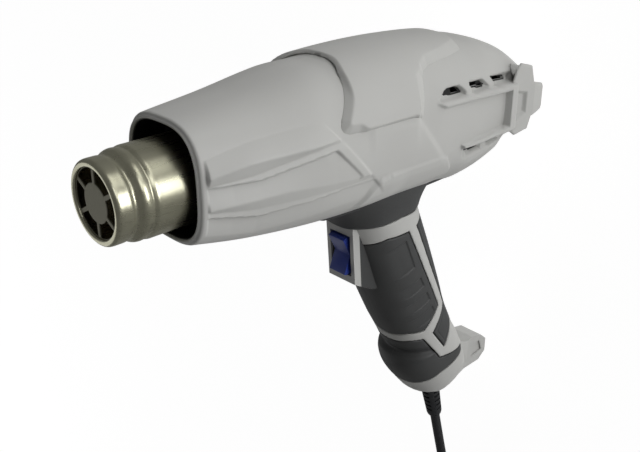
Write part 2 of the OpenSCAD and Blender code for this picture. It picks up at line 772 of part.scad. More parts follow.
module cord_clamp() {
    color("#1f1f21") difference() {
        place_cord() translate([0, 0, clamp_z]) {
            translate([-13, cord_d / 2 + 0.02, 0]) cube([26, 3.4 - 0.02, 7]);
            for (x = [-12.9, 6.1]) {
                translate([x, 0.02, 0]) cube([6.8, 5, 7]);
            }
        }
        clamp_holes(1.7, 9);
    }
}
module clamp_screws() {
    color("silver") place_cord() translate([0, 0, clamp_z + 3.5]) for (x = [-9.5, 9.5]) {
        translate([x, 0, 0]) rotate([-90, 0, 0]) {
            translate([0, 0, clamp_top]) cylinder(r = 2.8, h = 1.8, $fn = 24);
            translate([0, 0, -8]) cylinder(r = 1.25, h = 8 + clamp_top + 0.5, $fn = 24);
        }
    }
}
tail_in = 61.4;
module cord_tail() {
    color("#2b2b2d") place_cord() translate([0, 0, -tail_in])
        cylinder(r = cord_d / 2, h = tail_in + relief_len - 0.5, $fn = 32);
}

// Free cord: hand-chosen points from the strain relief down to the floor and up to the coil
function unit(v) = v / norm(v);
cord_dir = [-cos(cord_angle), 0, -sin(cord_angle)];
cord_end = [cord_x, 0, cord_z] + relief_len * cord_dir;
floor_z = cord_d / 2 + 0.05;
coil_c = [-324, -12];
coil_out = 40;
plug_h = 16;
run_pts = [cord_end - 0.5 * cord_dir, cord_end + 12 * cord_dir, cord_end + 26 * cord_dir, [-251, 0.1, 26.4],
    [-263, 1.4, 22.4], [-275, 5.2, 17], [-287, 11.6, 11], [-299, 19.4, 5.8], [-311, 25.8, 3.4], [coil_c[0], coil_c[1] + coil_out, floor_z]];
// Point a share t of the way through the chosen points, on a smooth curve
function bend(P, t) = let(n = len(P) - 1, i = min(floor(t * n), n - 1), f = t * n - i, a = P[max(i - 1, 0)],
    b = P[i], c = P[i + 1], d = P[min(i + 2, n)])
    0.5 * (2 * b + (c - a) * f + (2 * a - 5 * b + 4 * c - d) * f * f + (3 * b - a - 3 * c + d) * f * f * f);
function tube_ring(p, t, r, m) = let(s = unit(cross(t, [0, 0, 1])), u = cross(s, t))
    [for (j = [0:m - 1]) let(a = 360 * (j + 0.5) / m) p + r * cos(a) * s + r * sin(a) * u];
module tube(P, T, r, m) {
    loft([for (i = [0:len(P) - 1]) tube_ring(P[i], -T[i], r, m)]);
}
run_n = 26;
run_path = [for (i = [0:run_n]) bend(run_pts, i / run_n)];
run_tan = [for (i = [0:run_n]) i == 0 ? cord_dir : i == run_n ? [-1, 0, 0]
    : unit(run_path[i + 1] - run_path[i - 1])];
module cord_run() {
    color("#2b2b2d") tube(run_path, run_tan, cord_d / 2, 10);
}
// Coil: four layers of two loops each, in and out again, with a half turn of climb at each change.
// The last climb lies on the coil, and the end turns in over it to the plug.
pitch = cord_d + 1.6;
rise = cord_d + 0.8;
per = 24;
layers = 4;
loops = 2;
span = loops + 0.5;
turn_in = 4 * cord_d + 1;
// For the count of turns q, the radius and height of the tube
function coil_at(q) = let(k = min(floor(q / span), layers - 1), f = q - k * span, g = min(f, loops) / loops,
    c = clip((f - loops) / 0.5, 0, 1), w = k % 2 == 0 ? g : 1 - g)
    [coil_out - w * loops * pitch, floor_z + rise * (k + c * c * (3 - 2 * c))];
coil_turns = layers * span + 1 / 6;
function coil_point(q) = let(v = coil_at(q), a = 90 + 360 * q)
    [coil_c[0] + v[0] * cos(a), coil_c[1] + v[0] * sin(a), v[1]];
coil_steps = round(coil_turns * per);
coil_loops = [for (i = [0:coil_steps]) coil_point(i / per)];
plug_z = floor_z + (layers - 1) * rise + cord_d / 2 + plug_h;
coil_exit = [for (i = [1:8]) let(t = i / 8, a = 150 + 120 * t, z = coil_loops[coil_steps][2])
    [coil_c[0] + (coil_out - turn_in) * cos(150) + turn_in * cos(a),
    coil_c[1] + (coil_out - turn_in) * sin(150) + turn_in * sin(a), z + (plug_z - z) * t * t * (3 - 2 * t)]];
tail_end = coil_exit[7] + [cord_d + 4, 0, 0];
coil_path = concat(coil_loops, coil_exit, [tail_end - [cord_d, 0, 0], tail_end]);
coil_count = len(coil_path);
coil_tan = [for (i = [0:coil_count - 1]) i == 0 ? [-1, 0, 0] : i >= coil_count - 2 ? [1, 0, 0]
    : unit(coil_path[i + 1] - coil_path[i - 1])];
coil_gap = min([for (i = [0:coil_count - 1], j = [i + 8:1:coil_count - 1]) norm(coil_path[i] - coil_path[j])]) - cord_d;
echo("least gap of the coil to itself", coil_gap);
function run_sum(P, i = 1) = i >= len(P) ? 0 : norm(P[i] - P[i - 1]) + run_sum(P, i + 1);
echo("free length of the cord", run_sum(run_path) + run_sum(coil_path));
module cord_coil() {
    color("#2b2b2d") tube(coil_path, coil_tan, cord_d / 2, 6);
}

// Two-pin plug lying on the coil
plug_len = 40;
module place_plug() {
    translate(tail_end) rotate([0, 90, 0]) children();
}
module plug_body() {
    color("#2b2b2d") place_plug() difference() {
        hull() {
            translate([0, 0, 0]) cylinder(r = cord_d / 2 + 1.6, h = 1, $fn = 32);
            translate([0, 0, 14]) linear_extrude(2) offset(r = 12) square([3, 12], center = true);
        }
        translate([0, 0, -1]) cylinder(r = 0.5, h = 0.5, $fn = 24);
    }
    color("#2b2b2d") place_plug() translate([0, 0, 16]) linear_extrude(plug_len - 16) offset(r = 12)
        square([3, 12], center = true);
}
module plug_pins() {
    color("#cfd1d3") place_plug() for (y = [-9.5, 9.5]) {
        translate([0, y, plug_len]) cylinder(r = 2.4, h = 18, $fn = 32);
        translate([0, y, plug_len + 18]) cylinder(r1 = 2.4, r2 = 1.4, h = 1, $fn = 32);
    }
}

housing_left();
housing_right();
saddle_cover();
stand_bumper();
neck_sleeve();
grip_pad_left();
grip_pad_right();
back_strap();
base_boot_left();
base_boot_right();
foot_cap();
nozzle_tube();
outlet_grille();
mouth_liner();
mica_sleeve();
heater_core();
heater_winding();
thermal_cutout();
fan_shroud();
motor_can();
motor_magnets();
motor_end_cap();
rotor();
fan_wheel();
switch_body();
switch_rocker();
switch_bezel();
control_board();
terminal_block();
cord_clamp();
clamp_screws();
housing_screws();
strain_relief();
cord_tail();
cord_run();
cord_coil();
plug_body();
plug_pins();
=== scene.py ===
import bmesh
import bpy
import numpy as np
from mathutils import Matrix, Vector


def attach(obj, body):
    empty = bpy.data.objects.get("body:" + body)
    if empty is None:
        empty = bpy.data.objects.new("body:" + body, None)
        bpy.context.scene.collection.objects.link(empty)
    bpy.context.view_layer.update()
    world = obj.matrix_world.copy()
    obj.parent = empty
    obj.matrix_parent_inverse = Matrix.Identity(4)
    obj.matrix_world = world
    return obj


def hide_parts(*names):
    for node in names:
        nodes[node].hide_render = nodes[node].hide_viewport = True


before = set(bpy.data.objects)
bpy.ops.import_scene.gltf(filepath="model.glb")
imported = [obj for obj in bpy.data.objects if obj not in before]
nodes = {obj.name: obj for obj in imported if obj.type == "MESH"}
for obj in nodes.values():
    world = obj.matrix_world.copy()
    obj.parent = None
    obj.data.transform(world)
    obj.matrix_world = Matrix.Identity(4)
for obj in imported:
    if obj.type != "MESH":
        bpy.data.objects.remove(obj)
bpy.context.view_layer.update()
scene = bpy.context.scene

# View, light and floor
# The tool stands on its tail on a pale studio floor. A 50 mm lens looks at it from above its left
# side, rolled over so that the barrel lies across the picture. Large soft lamps stand round it.
eye = bpy.data.cameras.new("view")
eye.lens = 50
eye.sensor_width = 36
camera = bpy.data.objects.new("view", eye)
right, up, back = (-0.002, -0.6856, -0.728), (0.9069, 0.3054, -0.2902), (0.4212, -0.6608, 0.6212)
place = (0.1368, -0.2893, 0.4094)
camera.matrix_world = Matrix([*zip(right, up, back, place), (0, 0, 0, 1)])
scene.collection.objects.link(camera)
scene.camera = camera
scene.view_settings.view_transform = "Standard"


def srgb(code):
    """Linear red, green, blue and alpha of a hex colour."""
    v = np.array([int(code[i:i + 2], 16) for i in (0, 2, 4)]) / 255
    return (*np.where(v <= 0.04045, v / 12.92, ((v + 0.055) / 1.055) ** 2.4), 1.0)


def add(material, kind, links=(), ramp=(), **settings):
    """Adds a node to a material or world; settings name its attributes, and links its sockets,
    as (socket, value) or (socket, node, output). A colour ramp takes the two codes of ramp."""
    node = material.node_tree.nodes.new(kind)
    for name, value in settings.items():
        setattr(node, name, value)
    for i, code in enumerate(ramp):
        node.color_ramp.elements[i].color = srgb(code)
    for socket, value, *output in links:
        if output:
            material.node_tree.links.new(value.outputs[output[0]], node.inputs[socket])
        else:
            node.inputs[socket].default_value = value
    return node


def begin(owner):
    """Empties the node tree of a material or world and returns it."""
    owner.use_nodes = True
    owner.node_tree.nodes.clear()
    return owner


def lamp(name, place, aim, size, power):
    """A square area lamp at place, turned to face aim."""
    data = bpy.data.lights.new(name, "AREA")
    data.size, data.energy = size, power
    body = bpy.data.objects.new(name, data)
    z = np.subtract(place, aim) / np.linalg.norm(np.subtract(place, aim))
    x = np.cross((0, 0, 1), z)
    x = x / np.linalg.norm(x)
    body.matrix_world = Matrix([*zip(x, np.cross(z, x), z, place), (0, 0, 0, 1)])
    scene.collection.objects.link(body)


lamp("key_softbox", (0.9, -1.2, 0.12), (0, 0, 0.12), 0.7, 2.6)
lamp("low_softbox", (0.1, -0.42, 0.012), (0.02, -0.1, 0.2), 0.25, 0.95)
lamp("rear_softbox", (0.40, -0.2, 0.012), (0.02, 0, 0.14), 0.3, 0.3)
lamp("far_softbox", (-0.7, 1.1, 0.7), (0, 0, 0.12), 1.0, 2)
world = begin(bpy.data.worlds.new("studio"))
sky = add(world, "ShaderNodeBackground", [("Color", srgb("ffffff")), ("Strength", 0.12)])
seen = add(world, "ShaderNodeBackground", [("Color", srgb("ffffff")), ("Strength", 1.0)])
path = add(world, "ShaderNodeLightPath")
mix = add(world, "ShaderNodeMixShader", [(0, path, "Is Camera Ray"), (1, sky, 0), (2, seen, 0)])
add(world, "ShaderNodeOutputWorld", [("Surface", mix, 0)])
scene.world = world

# Backlit white table: it glows for all but mirror-like rays, with the object's shadow left in it
floor_paint = begin(bpy.data.materials.new("painted_floor"))
matt = add(floor_paint, "ShaderNodeBsdfDiffuse", [("Color", srgb("e8e8e8"))])
white = add(floor_paint, "ShaderNodeEmission", [("Color", srgb("ffffff")), ("Strength", 1.25)])
ray = add(floor_paint, "ShaderNodeLightPath")
glow = add(floor_paint, "ShaderNodeMath", [(0, ray, "Is Camera Ray"), (1, -0.19), (2, 0.95)],
           operation="MULTIPLY_ADD")
share = add(floor_paint, "ShaderNodeMath", [(0, glow, 0), (1, ray, "Is Glossy Ray")],
            operation="SUBTRACT", use_clamp=True)
paint = add(floor_paint, "ShaderNodeMixShader", [(0, share, 0), (1, matt, 0), (2, white, 0)])
add(floor_paint, "ShaderNodeOutputMaterial", [("Surface", paint, 0)])
sheet = bpy.data.meshes.new("studio_floor")
half, drop = 4.0, -0.0002
sheet.from_pydata([(-half, -half, drop), (half, -half, drop), (half, half, drop), (-half, half, drop)],
                  [], [(0, 1, 2, 3)])
sheet.materials.append(floor_paint)
floor = bpy.data.objects.new("studio_floor", sheet)
scene.collection.objects.link(floor)

# Mains cord, coil and plug
# Black rubber-sheathed flex, 6 mm across and about 2 m long. It leaves the foot through the strain
# relief, drops to the floor and ends in a put-away coil with a moulded two-pin plug.


def unit(v):
    """Vectors scaled to length one along the last axis."""
    return v / np.maximum(np.linalg.norm(v, axis=-1, keepdims=True), 1e-12)


def quads_of(n, m, loop=False):
    """Quads between each four neighbours of a grid of n rows and m columns; loop joins the last
    column to the first."""
    i, j = np.meshgrid(np.arange(n - 1), np.arange(m if loop else m - 1), indexing="ij")
    k = (j + 1) % m
    return np.stack([i * m + j, i * m + k, (i + 1) * m + k, (i + 1) * m + j], -1).reshape(-1, 4)


def skin(name, points, finish, caps=False, smooth=True, flip=False):
    """Closed skin round a grid of points in millimetres, rows by columns; caps close the first and
    the last row."""
    n, m = points.shape[:2]
    quads = quads_of(n, m, loop=True)
    faces = (quads[:, ::-1] if flip else quads).tolist()
    if caps:
        first, last = list(range(m))[::-1], [(n - 1) * m + c for c in range(m)]
        faces += [first[::-1], last[::-1]] if flip else [first, last]
    return make(name, points.reshape(-1, 3), faces, finish, smooth)


def make(name, points, faces, finish, smooth=True):
    """Object from points in millimetres and faces, with its finish, linked to the scene."""
    mesh = bpy.data.meshes.new(name)
    mesh.from_pydata((points * 0.001).tolist(), [], faces)
    mesh.polygons.foreach_set("use_smooth", np.full(len(mesh.polygons), smooth))
    mesh.materials.append(finish)
    piece = bpy.data.objects.new(name, mesh)
    scene.collection.objects.link(piece)
    return piece


def dress(material, *names):
    """Gives CAD nodes their material."""
    for name in names:
        nodes[name].data.materials.clear()
        nodes[name].data.materials.append(material)


def spline(points, count):
    """Catmull-Rom curve through the points, at count + 1 even steps."""
    p = np.array([points[0], *points, points[-1]], float)
    t = np.linspace(0, len(points) - 1, count + 1)
    i = np.minimum(t.astype(int), len(points) - 2)
    f = (t - i)[:, None]
    a, b, c, d = (p[i + k] for k in range(4))
    return 0.5 * (2 * b + (c - a) * f + (2 * a - 5 * b + 4 * c - d) * f ** 2
                  + (3 * b - a - 3 * c + d) * f ** 3)


def tube(name, path, radius, finish, sides=16):
    """Round tube along a path: at each point a circle square to the path's direction."""
    way = unit(np.gradient(path, axis=0))
    side = unit(np.cross(way, (0, 0, 1)))
    over = np.cross(way, side)
    a = 2 * np.pi * np.arange(sides) / sides
    ring = side[:, None] * np.cos(a)[:, None] + over[:, None] * np.sin(a)[:, None]
    return skin(name, path[:, None] + radius * ring, finish, caps=True)


def rounded(name, node, finish, edge, reshape=None):
    """A copy of a CAD node with its loose corners merged, flat areas joined, smooth across small
    angles, and its sharp edges rounded by a bevel of the given width in millimetres. Its corners
    may first be moved by reshape, which gets and gives them in millimetres."""
    mesh = nodes[node].data.copy()
    if reshape:
        co = np.zeros(len(mesh.vertices) * 3, np.float32)
        mesh.vertices.foreach_get("co", co)
        mesh.vertices.foreach_set("co", reshape(co.reshape(-1, 3) * 1000).ravel() / 1000)
    merge, flat, crease = 2e-5, np.radians(1.0), np.radians(30)
    work = bmesh.new()
    work.from_mesh(mesh)
    bmesh.ops.remove_doubles(work, verts=work.verts, dist=merge)
    bmesh.ops.dissolve_limit(work, angle_limit=flat, verts=work.verts, edges=work.edges)
    work.to_mesh(mesh)
    work.free()
    mesh.polygons.foreach_set("use_smooth", np.full(len(mesh.polygons), True))
    mesh.set_sharp_from_angle(angle=crease)
    mesh.materials.clear()
    mesh.materials.append(finish)
    piece = bpy.data.objects.new(name, mesh)
    scene.collection.objects.link(piece)
    bevel = piece.modifiers.new("edge", "BEVEL")
    bevel.width, bevel.segments, bevel.limit_method = edge / 1000, 3, "ANGLE"
    bevel.angle_limit, bevel.harden_normals = crease, False
    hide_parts(node)
    return piece


cord_rubber = begin(bpy.data.materials.new("rubber_flex"))
# Extruded rubber: near black, dull, with a faint uneven matt
spot = add(cord_rubber, "ShaderNodeTexCoord")
grain = add(cord_rubber, "ShaderNodeTexNoise", [("Vector", spot, "Object"), ("Scale", 900.0),
                                                ("Detail", 3.0)])
tone = add(cord_rubber, "ShaderNodeValToRGB", [("Fac", grain, "Fac")], ramp=("232426", "343537"))
bump = add(cord_rubber, "ShaderNodeBump", [("Height", grain, "Fac"), ("Strength", 0.15),
                                           ("Distance", 0.0003)])
body = add(cord_rubber, "ShaderNodeBsdfPrincipled", [("Base Color", tone, 0), ("Roughness", 0.48),
                                                     ("Normal", bump, 0)])
add(cord_rubber, "ShaderNodeOutputMaterial", [("Surface", body, 0)])

# The flex leaves the sleeve's end at 15 degrees below level; sizes in millimetres
cord_r, floor_z, droop, sleeve_l = 3.0, 3.05, np.radians(15), 32
cord_way = np.array([-np.cos(droop), 0, -np.sin(droop)])
cord_from = np.array([-180.5, 0, 45.4]) + sleeve_l * cord_way
coil_c, coil_out, pitch, rise = np.array([-324.0, -12.0]), 39.5, 7.5, 6.8
chosen = [cord_from - 0.5 * cord_way, cord_from + 12 * cord_way, cord_from + 26 * cord_way, (-251, 0.1, 26.4),
          (-263, 1.4, 22.4), (-275, 5.2, 17), (-287, 11.6, 11), (-299, 19.4, 5.8), (-311, 25.8, 3.4),
          (coil_c[0], coil_c[1] + coil_out, floor_z)]
run = spline(chosen, 80)
# The coil: each layer has two turns that wind in or out by turns, then climbs during half a turn
turns, steps, per_layer = 10 + 1 / 6, 48, 2.5
q = np.arange(int(turns * steps) + 1) / steps
layer = np.minimum(q // per_layer, 3)
f = q - per_layer * layer
g = np.minimum(f, 2) / 2
w = np.where(layer % 2 == 0, g, 1 - g)
c = np.clip((f - 2) / 0.5, 0, 1)
turn = np.pi / 2 + 2 * np.pi * q
reach = coil_out - 2 * pitch * w
coil = np.stack([coil_c[0] + reach * np.cos(turn), coil_c[1] + reach * np.sin(turn),
                 floor_z + rise * (layer + c * c * (3 - 2 * c))], -1)
# The last bend: a tighter arc from the coil's end up to the height of the plug
leave_r, leave_at, leave_turn, plug_z = 25, 150, 120, 42.45
t = np.arange(1, 19) / 18
turn = np.radians(leave_at + leave_turn * t)
leave = np.stack([coil_c[0] + (coil_out - leave_r) * np.cos(np.radians(leave_at)) + leave_r * np.cos(turn),
                  coil_c[1] + (coil_out - leave_r) * np.sin(np.radians(leave_at)) + leave_r * np.sin(turn),
                  coil[-1][2] + (plug_z - coil[-1][2]) * t * t * (3 - 2 * t)], -1)
leave = np.concatenate([leave, leave[-1] + np.array([[4.0, 0, 0], [10, 0, 0]])])
whole = np.concatenate([run[:-1], coil, leave])
flex = tube("mains_flex", whole, cord_r, cord_rubber)
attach(flex, "tool")
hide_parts("cord_run", "cord_coil")
plug = rounded("plug_shell", "plug_body", cord_rubber, 0.8)
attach(plug, "tool")
dress(cord_rubber, "cord_run", "cord_coil", "cord_tail", "plug_body")

# Barrel housing
# Two halves of light grey satin ABS, injection moulded and screwed together from the right. The nose
# carries sculpted ribs round a shallow pocket, and the tail has air slots between two side bars.


def curve(table, z, k):
    """Column k of a table against column 0: cubic through its rows, with the slope of the rows
    on each side."""
    T = np.array(table, float)
    i = np.clip(np.searchsorted(T[:, 0], z, side="left") - 1, 0, len(T) - 2)
    low, high = np.maximum(np.arange(len(T)) - 1, 0), np.minimum(np.arange(len(T)) + 1, len(T) - 1)
    slope = (T[high, k] - T[low, k]) / (T[high, 0] - T[low, 0])
    h = T[i + 1, 0] - T[i, 0]
    t = (z - T[i, 0]) / h
    return ((2 * t ** 3 - 3 * t ** 2 + 1) * T[i, k] + (t ** 3 - 2 * t ** 2 + t) * h * slope[i]
            + (3 * t ** 2 - 2 * t ** 3) * T[i + 1, k] + (t ** 3 - t ** 2) * h * slope[i + 1])


def oval(top, bottom, half, power, angle):
    """Squarish oval: the superellipse of that power, with its middle between top and bottom."""
    c, s = np.cos(angle), np.sin(angle)
    q = (np.abs(c) ** power + np.abs(s) ** power) ** (-1 / power)
    return (top - bottom) / 2 + (top + bottom) / 2 * q * c, half * q * s


tail_z, mouth_z, half_high, half_wide = 6.0, 225.6, 38.5, 37
# Rows of the barrel: height, top, bottom, half width, and squareness, as shares of its sizes
barrel_rows = [[tail_z + a * (mouth_z - tail_z), b * half_high, c * half_high, d * half_wide, e]
               for a, b, c, d, e in [
    [0.000, 0.39, 0.47, 0.70, 2.6], [0.082, 0.69, 0.74, 0.83, 2.5], [0.210, 0.90, 0.97, 0.93, 2.4],
    [0.373, 0.985, 1.00, 1.00, 2.4], [0.537, 1.00, 0.985, 0.99, 2.4], [0.700, 0.95, 0.935, 0.96, 2.4],
    [0.865, 0.82, 0.82, 0.82, 2.6], [1.000, 0.73, 0.66, 0.68, 3.0]]]


def barrel(z, angle, grow=0.0):
    """Point of the barrel at height z and angle from the top, moved out by grow."""
    q = np.clip(z, tail_z, mouth_z)
    x, y = oval(*(curve(barrel_rows, q, k) + grow for k in (1, 2, 3)), curve(barrel_rows, q, 4), angle)
    return np.stack([x, y, z + 0 * x], -1)


def depth(outline, x, z):
    """Distance of side-view points from an outline's edge: positive inside, negative outside."""
    P = np.array(outline, float)
    Q = np.roll(P, -1, axis=0)
    p = np.stack([x, z], -1)[..., None, :]
    d = Q - P
    t = np.clip(((p - P) * d).sum(-1) / (d * d).sum(-1), 0, 1)
    gap = np.linalg.norm(p - P - t[..., None] * d, axis=-1).min(-1)
    climb = np.where(d[:, 1] == 0, 1e-9, d[:, 1])
    spans = (P[:, 1] > p[..., 1]) != (Q[:, 1] > p[..., 1])
    crosses = spans & (p[..., 0] < P[:, 0] + (p[..., 1] - P[:, 1]) * d[:, 0] / climb)
    return np.where(crosses.sum(-1) % 2 == 1, gap, -gap)


def inside(outline):
    """Law of a piece's edge: the distance of points into a side-view outline."""
    return lambda P: depth(outline, P[..., 0], P[..., 2])


def ease(v):
    """Smooth step from 0 to 1."""
    v = np.clip(v, 0, 1)
    return v * v * (3 - 2 * v)


def side_of(line, x, z):
    """Signed distance of side-view points from an open line of points, positive to its tail side."""
    L = np.array(line, float)
    far = [[L[-1][0], -500], [400, -500], [400, L[0][1]]]
    return depth([*line, *far], x, z)


# The nose: at each height, the side-view places of the facet's edges and the two ribs' edges.
# Below it, side-view outlines, as x and z in millimetres, of each form that is raised or sunk
nose_z = np.array([130, 154, 160.8, 173, 186, 198, 204, 222.6, 226])
nose_x = np.array([[20.6, 20.5, 20.3, 19.8, 19.2, 18.6, 18.0, 15.3, 15],
                   [10.9, 10.8, 10.8, 10.6, 10.5, 10.4, 10.3, 7.4, 7.2],
                   [10.6, 10.5, 10.0, 8.6, 7.0, 5.3, 4.6, 4.1, 4.1],
                   [8.6, 7.6, 6.9, 5.3, 3.8, 2.3, 2.6, 3.9, 3.9],
                   [-9.6, -8.9, -8.3, -7.1, -6.0, -6.1, -6.1, -6.0, -6.0],
                   [-12.2, -12.1, -12.0, -11.7, -11.3, -10.9, -10.2, -7.0, -7.0],
                   [-12.8, -12.8, -13.2, -14.1, -14.1, -14.2, -13.0, -9.0, -9.0],
                   [-14.5, -14.8, -15.8, -17.4, -17.8, -18.0, -16.5, -11.0, -11.0]])
saddle_edge = [[60, 138], [38, 139], [34.5, 144], [29.2, 147.5], [23.5, 151.5], [18.5, 155.0],
               [15.6, 156.0], [13.3, 155.0], [12.0, 152], [11.4, 143], [11, 112], [9.0, 105.6],
               [21.5, 101.6], [26.5, 99.4], [28.6, 97], [30.0, 92], [31.4, 61], [34, 57], [60, 57]]
pocket = [[4.0, 223], [2.4, 200.7], [6.9, 160.8], [-8.7, 145.6], [-9.6, 147.2], [-5.9, 186.9], [-6.1, 204],
          [-6, 223]]
diagonal = [[60, 200], [16.2, 161.5], [10.6, 156.5], [-11.8, 136.5], [-60, 93.5]]
belly = [[-12.6, 127.7], [-13.5, 132.4], [-18, 137.5], [-31.8, 147], [-60, 165], [-60, 76], [-23.4, 78.2],
         [-14.7, 85.8], [-13.2, 90]]
middle = [[11, 130], [10.5, 107.6], [-3.3, 96.8], [-7.8, 93], [-13, 88.5], [-30, 72], [-60, 50],
          [-60, 150], [11, 150]]
slots = [[[15.4, 88.8], [18.2, 85.8], [17.8, 75.8], [13.7, 71.3]],
         [[17.4, 69.5], [17, 56.4], [12.4, 51.0], [14.6, 66.8]],
         [[16.5, 49.2], [15, 33.6], [12.1, 32.6], [13.4, 46.6]],
         [[-15.4, 70.5], [-15.6, 54], [-19.2, 54.2], [-18.8, 67]],
         [[-16, 48.5], [-16.4, 34.5], [-19.2, 36.5], [-19.2, 48.4]]]
bars = [[[13.9, 96], [11.2, 30], [7.6, 30], [10.4, 90]],
        [[-11.4, 76], [-10.6, 30], [-14.2, 30], [-14.2, 74]],
        [[11.2, 36.5], [11.2, 30], [-14.2, 30], [-14.2, 36.5]]]
gutter = [[14.2, 94.5], [17.9, 90.8], [19.7, 87.2], [18.9, 70], [17.9, 50.8], [16.8, 36], [15.5, 28],
          [10.8, 28], [13.6, 93]]
struts = [[[20.5, 78.5], [14.8, 73.0], [12.6, 70.5], [14.2, 65.6], [20.0, 70.6]],
          [[19.5, 59.0], [13.4, 53.6], [11.6, 51], [13.2, 46.0], [19.0, 51.6]]]
lower = [[-14.4, 73.5], [-20.8, 70.5], [-19.8, 32], [-14.4, 32]]


def relief(x, z):
    """Height of the moulded forms over the plain barrel: the nose profile between its knots, a
    pocket deepest along its upper edge, a lower panel, the raised middle, and the sunk land round
    the saddle."""
    h = np.zeros_like(x)
    knots = np.array([np.interp(z[:, 0], nose_z, row) for row in nose_x])
    deep = np.interp(z[:, 0], [130, 165, 195, 210, 222], [1.2, 1.5, 2.4, 3.0, 2.4])
    floor_end = np.interp(z[:, 0], [160, 188], [0.0, 0.8])
    brow = np.interp(z[:, 0], [150, 162, 176, 204, 222], [0.7, 1.4, 2.6, 2.6, 2.0])
    for i in np.nonzero(z[:, 0] > 128)[0]:
        k = knots[:, i]
        # outward to the first edge, in under it, tilted strip, sharp drop, floor rising again
        at = [k[0], k[1], k[2], k[3], k[3] - 0.5, k[4], k[5], k[6], k[6] - 0.5, k[6] - 9]
        up = [0, brow[i], 0.1, 0.8, 0.8 - deep[i], floor_end[i], -0.6, 0.1, 0.1 - 0.9 * deep[i], 0]
        h[i] = np.interp(-x[i], -np.array(at), up, left=0, right=0)
    sunk_by = depth(pocket, x, z)
    near = (x > np.interp(z, [147.2, 186.9], [-9.6, -5.9])) & (x < 7.2) & (z < 175)
    frame_up = near * ease(-sunk_by / 0.5) * ease((176 - z) / 10)
    h = 0.9 * frame_up + h * (1 - frame_up)
    h *= ease(-side_of(diagonal, x, z) / 1.2) * ease((222 - z) / 0.8)
    under = depth(belly, x, z)
    h += 1.6 * ease((-16 - x) / 8) * ease((80 - z) / 16) * ease((z - 26) / 10)
    fore, aft = 1.5 * np.clip(under / 2.0, 0, 1), (0.7 + 0.8 * ease((z - 112) / 14)) * ease(under / 0.9)
    h += np.where(z > 126, fore, aft) * ease((x + 29) / 3)
    sunk = 2.2 * ease(depth(gutter, x, z) / 1.6)
    sunk *= 1 - ease(np.max([depth(s, x, z) for s in struts], axis=0) / 0.5 + 1)
    h -= sunk + 1.2 * ease(depth(lower, x, z) / 1.2)
    h += 1.5 * np.clip(depth(middle, x, z) / 3.0, 0, 1) * ease((140 - z) / 30) * ease((x + 26) / 26)
    around = np.clip(ease((z - 136) / 6) + ease((112 - z) / 5), 0.1, 1) * (z > 40)
    return h - 1.0 * around * (1 - ease(-depth(saddle_edge, x, z) / 15))


abs_grey = begin(bpy.data.materials.new("satin_abs"))
# Moulded ABS with a fine spark-eroded grain: even light grey, a soft sheen and barely any texture
spot = add(abs_grey, "ShaderNodeTexCoord")
cloud = add(abs_grey, "ShaderNodeTexNoise", [("Vector", spot, "Object"), ("Scale", 25.0), ("Detail", 2.0)])
tone = add(abs_grey, "ShaderNodeValToRGB", [("Fac", cloud, "Fac")], ramp=("b1b1ae", "b7b7b4"))
grit = add(abs_grey, "ShaderNodeTexNoise", [("Vector", spot, "Object"), ("Scale", 2500.0), ("Detail", 2.0)])
bump = add(abs_grey, "ShaderNodeBump", [("Height", grit, "Fac"), ("Strength", 0.12), ("Distance", 0.0001)])
body = add(abs_grey, "ShaderNodeBsdfPrincipled", [("Base Color", tone, 0), ("Roughness", 0.42),
                                                  ("Normal", bump, 0)])
add(abs_grey, "ShaderNodeOutputMaterial", [("Surface", body, 0)])

black = begin(bpy.data.materials.new("black_heatproof"))
# Glass-filled black plastic: dark, half-matt, with a faint mottled skin
spot = add(black, "ShaderNodeTexCoord")
cloud = add(black, "ShaderNodeTexNoise", [("Vector", spot, "Object"), ("Scale", 200.0), ("Detail", 4.0)])
tone = add(black, "ShaderNodeValToRGB", [("Fac", cloud, "Fac")], ramp=("161616", "232323"))
bump = add(black, "ShaderNodeBump", [("Height", cloud, "Fac"), ("Strength", 0.1), ("Distance", 0.0003)])
body = add(black, "ShaderNodeBsdfPrincipled", [("Base Color", tone, 0), ("Roughness", 0.42),
                                               ("Normal", bump, 0)])
add(black, "ShaderNodeOutputMaterial", [("Surface", body, 0)])


tail_r, lip_r, lip_z, wall, inner_rows = 2.4, 1.25, mouth_z - 2.2, 2.5, 40
flank_y, draw_in, slot_depth = 35.6, 0.26, 1.8


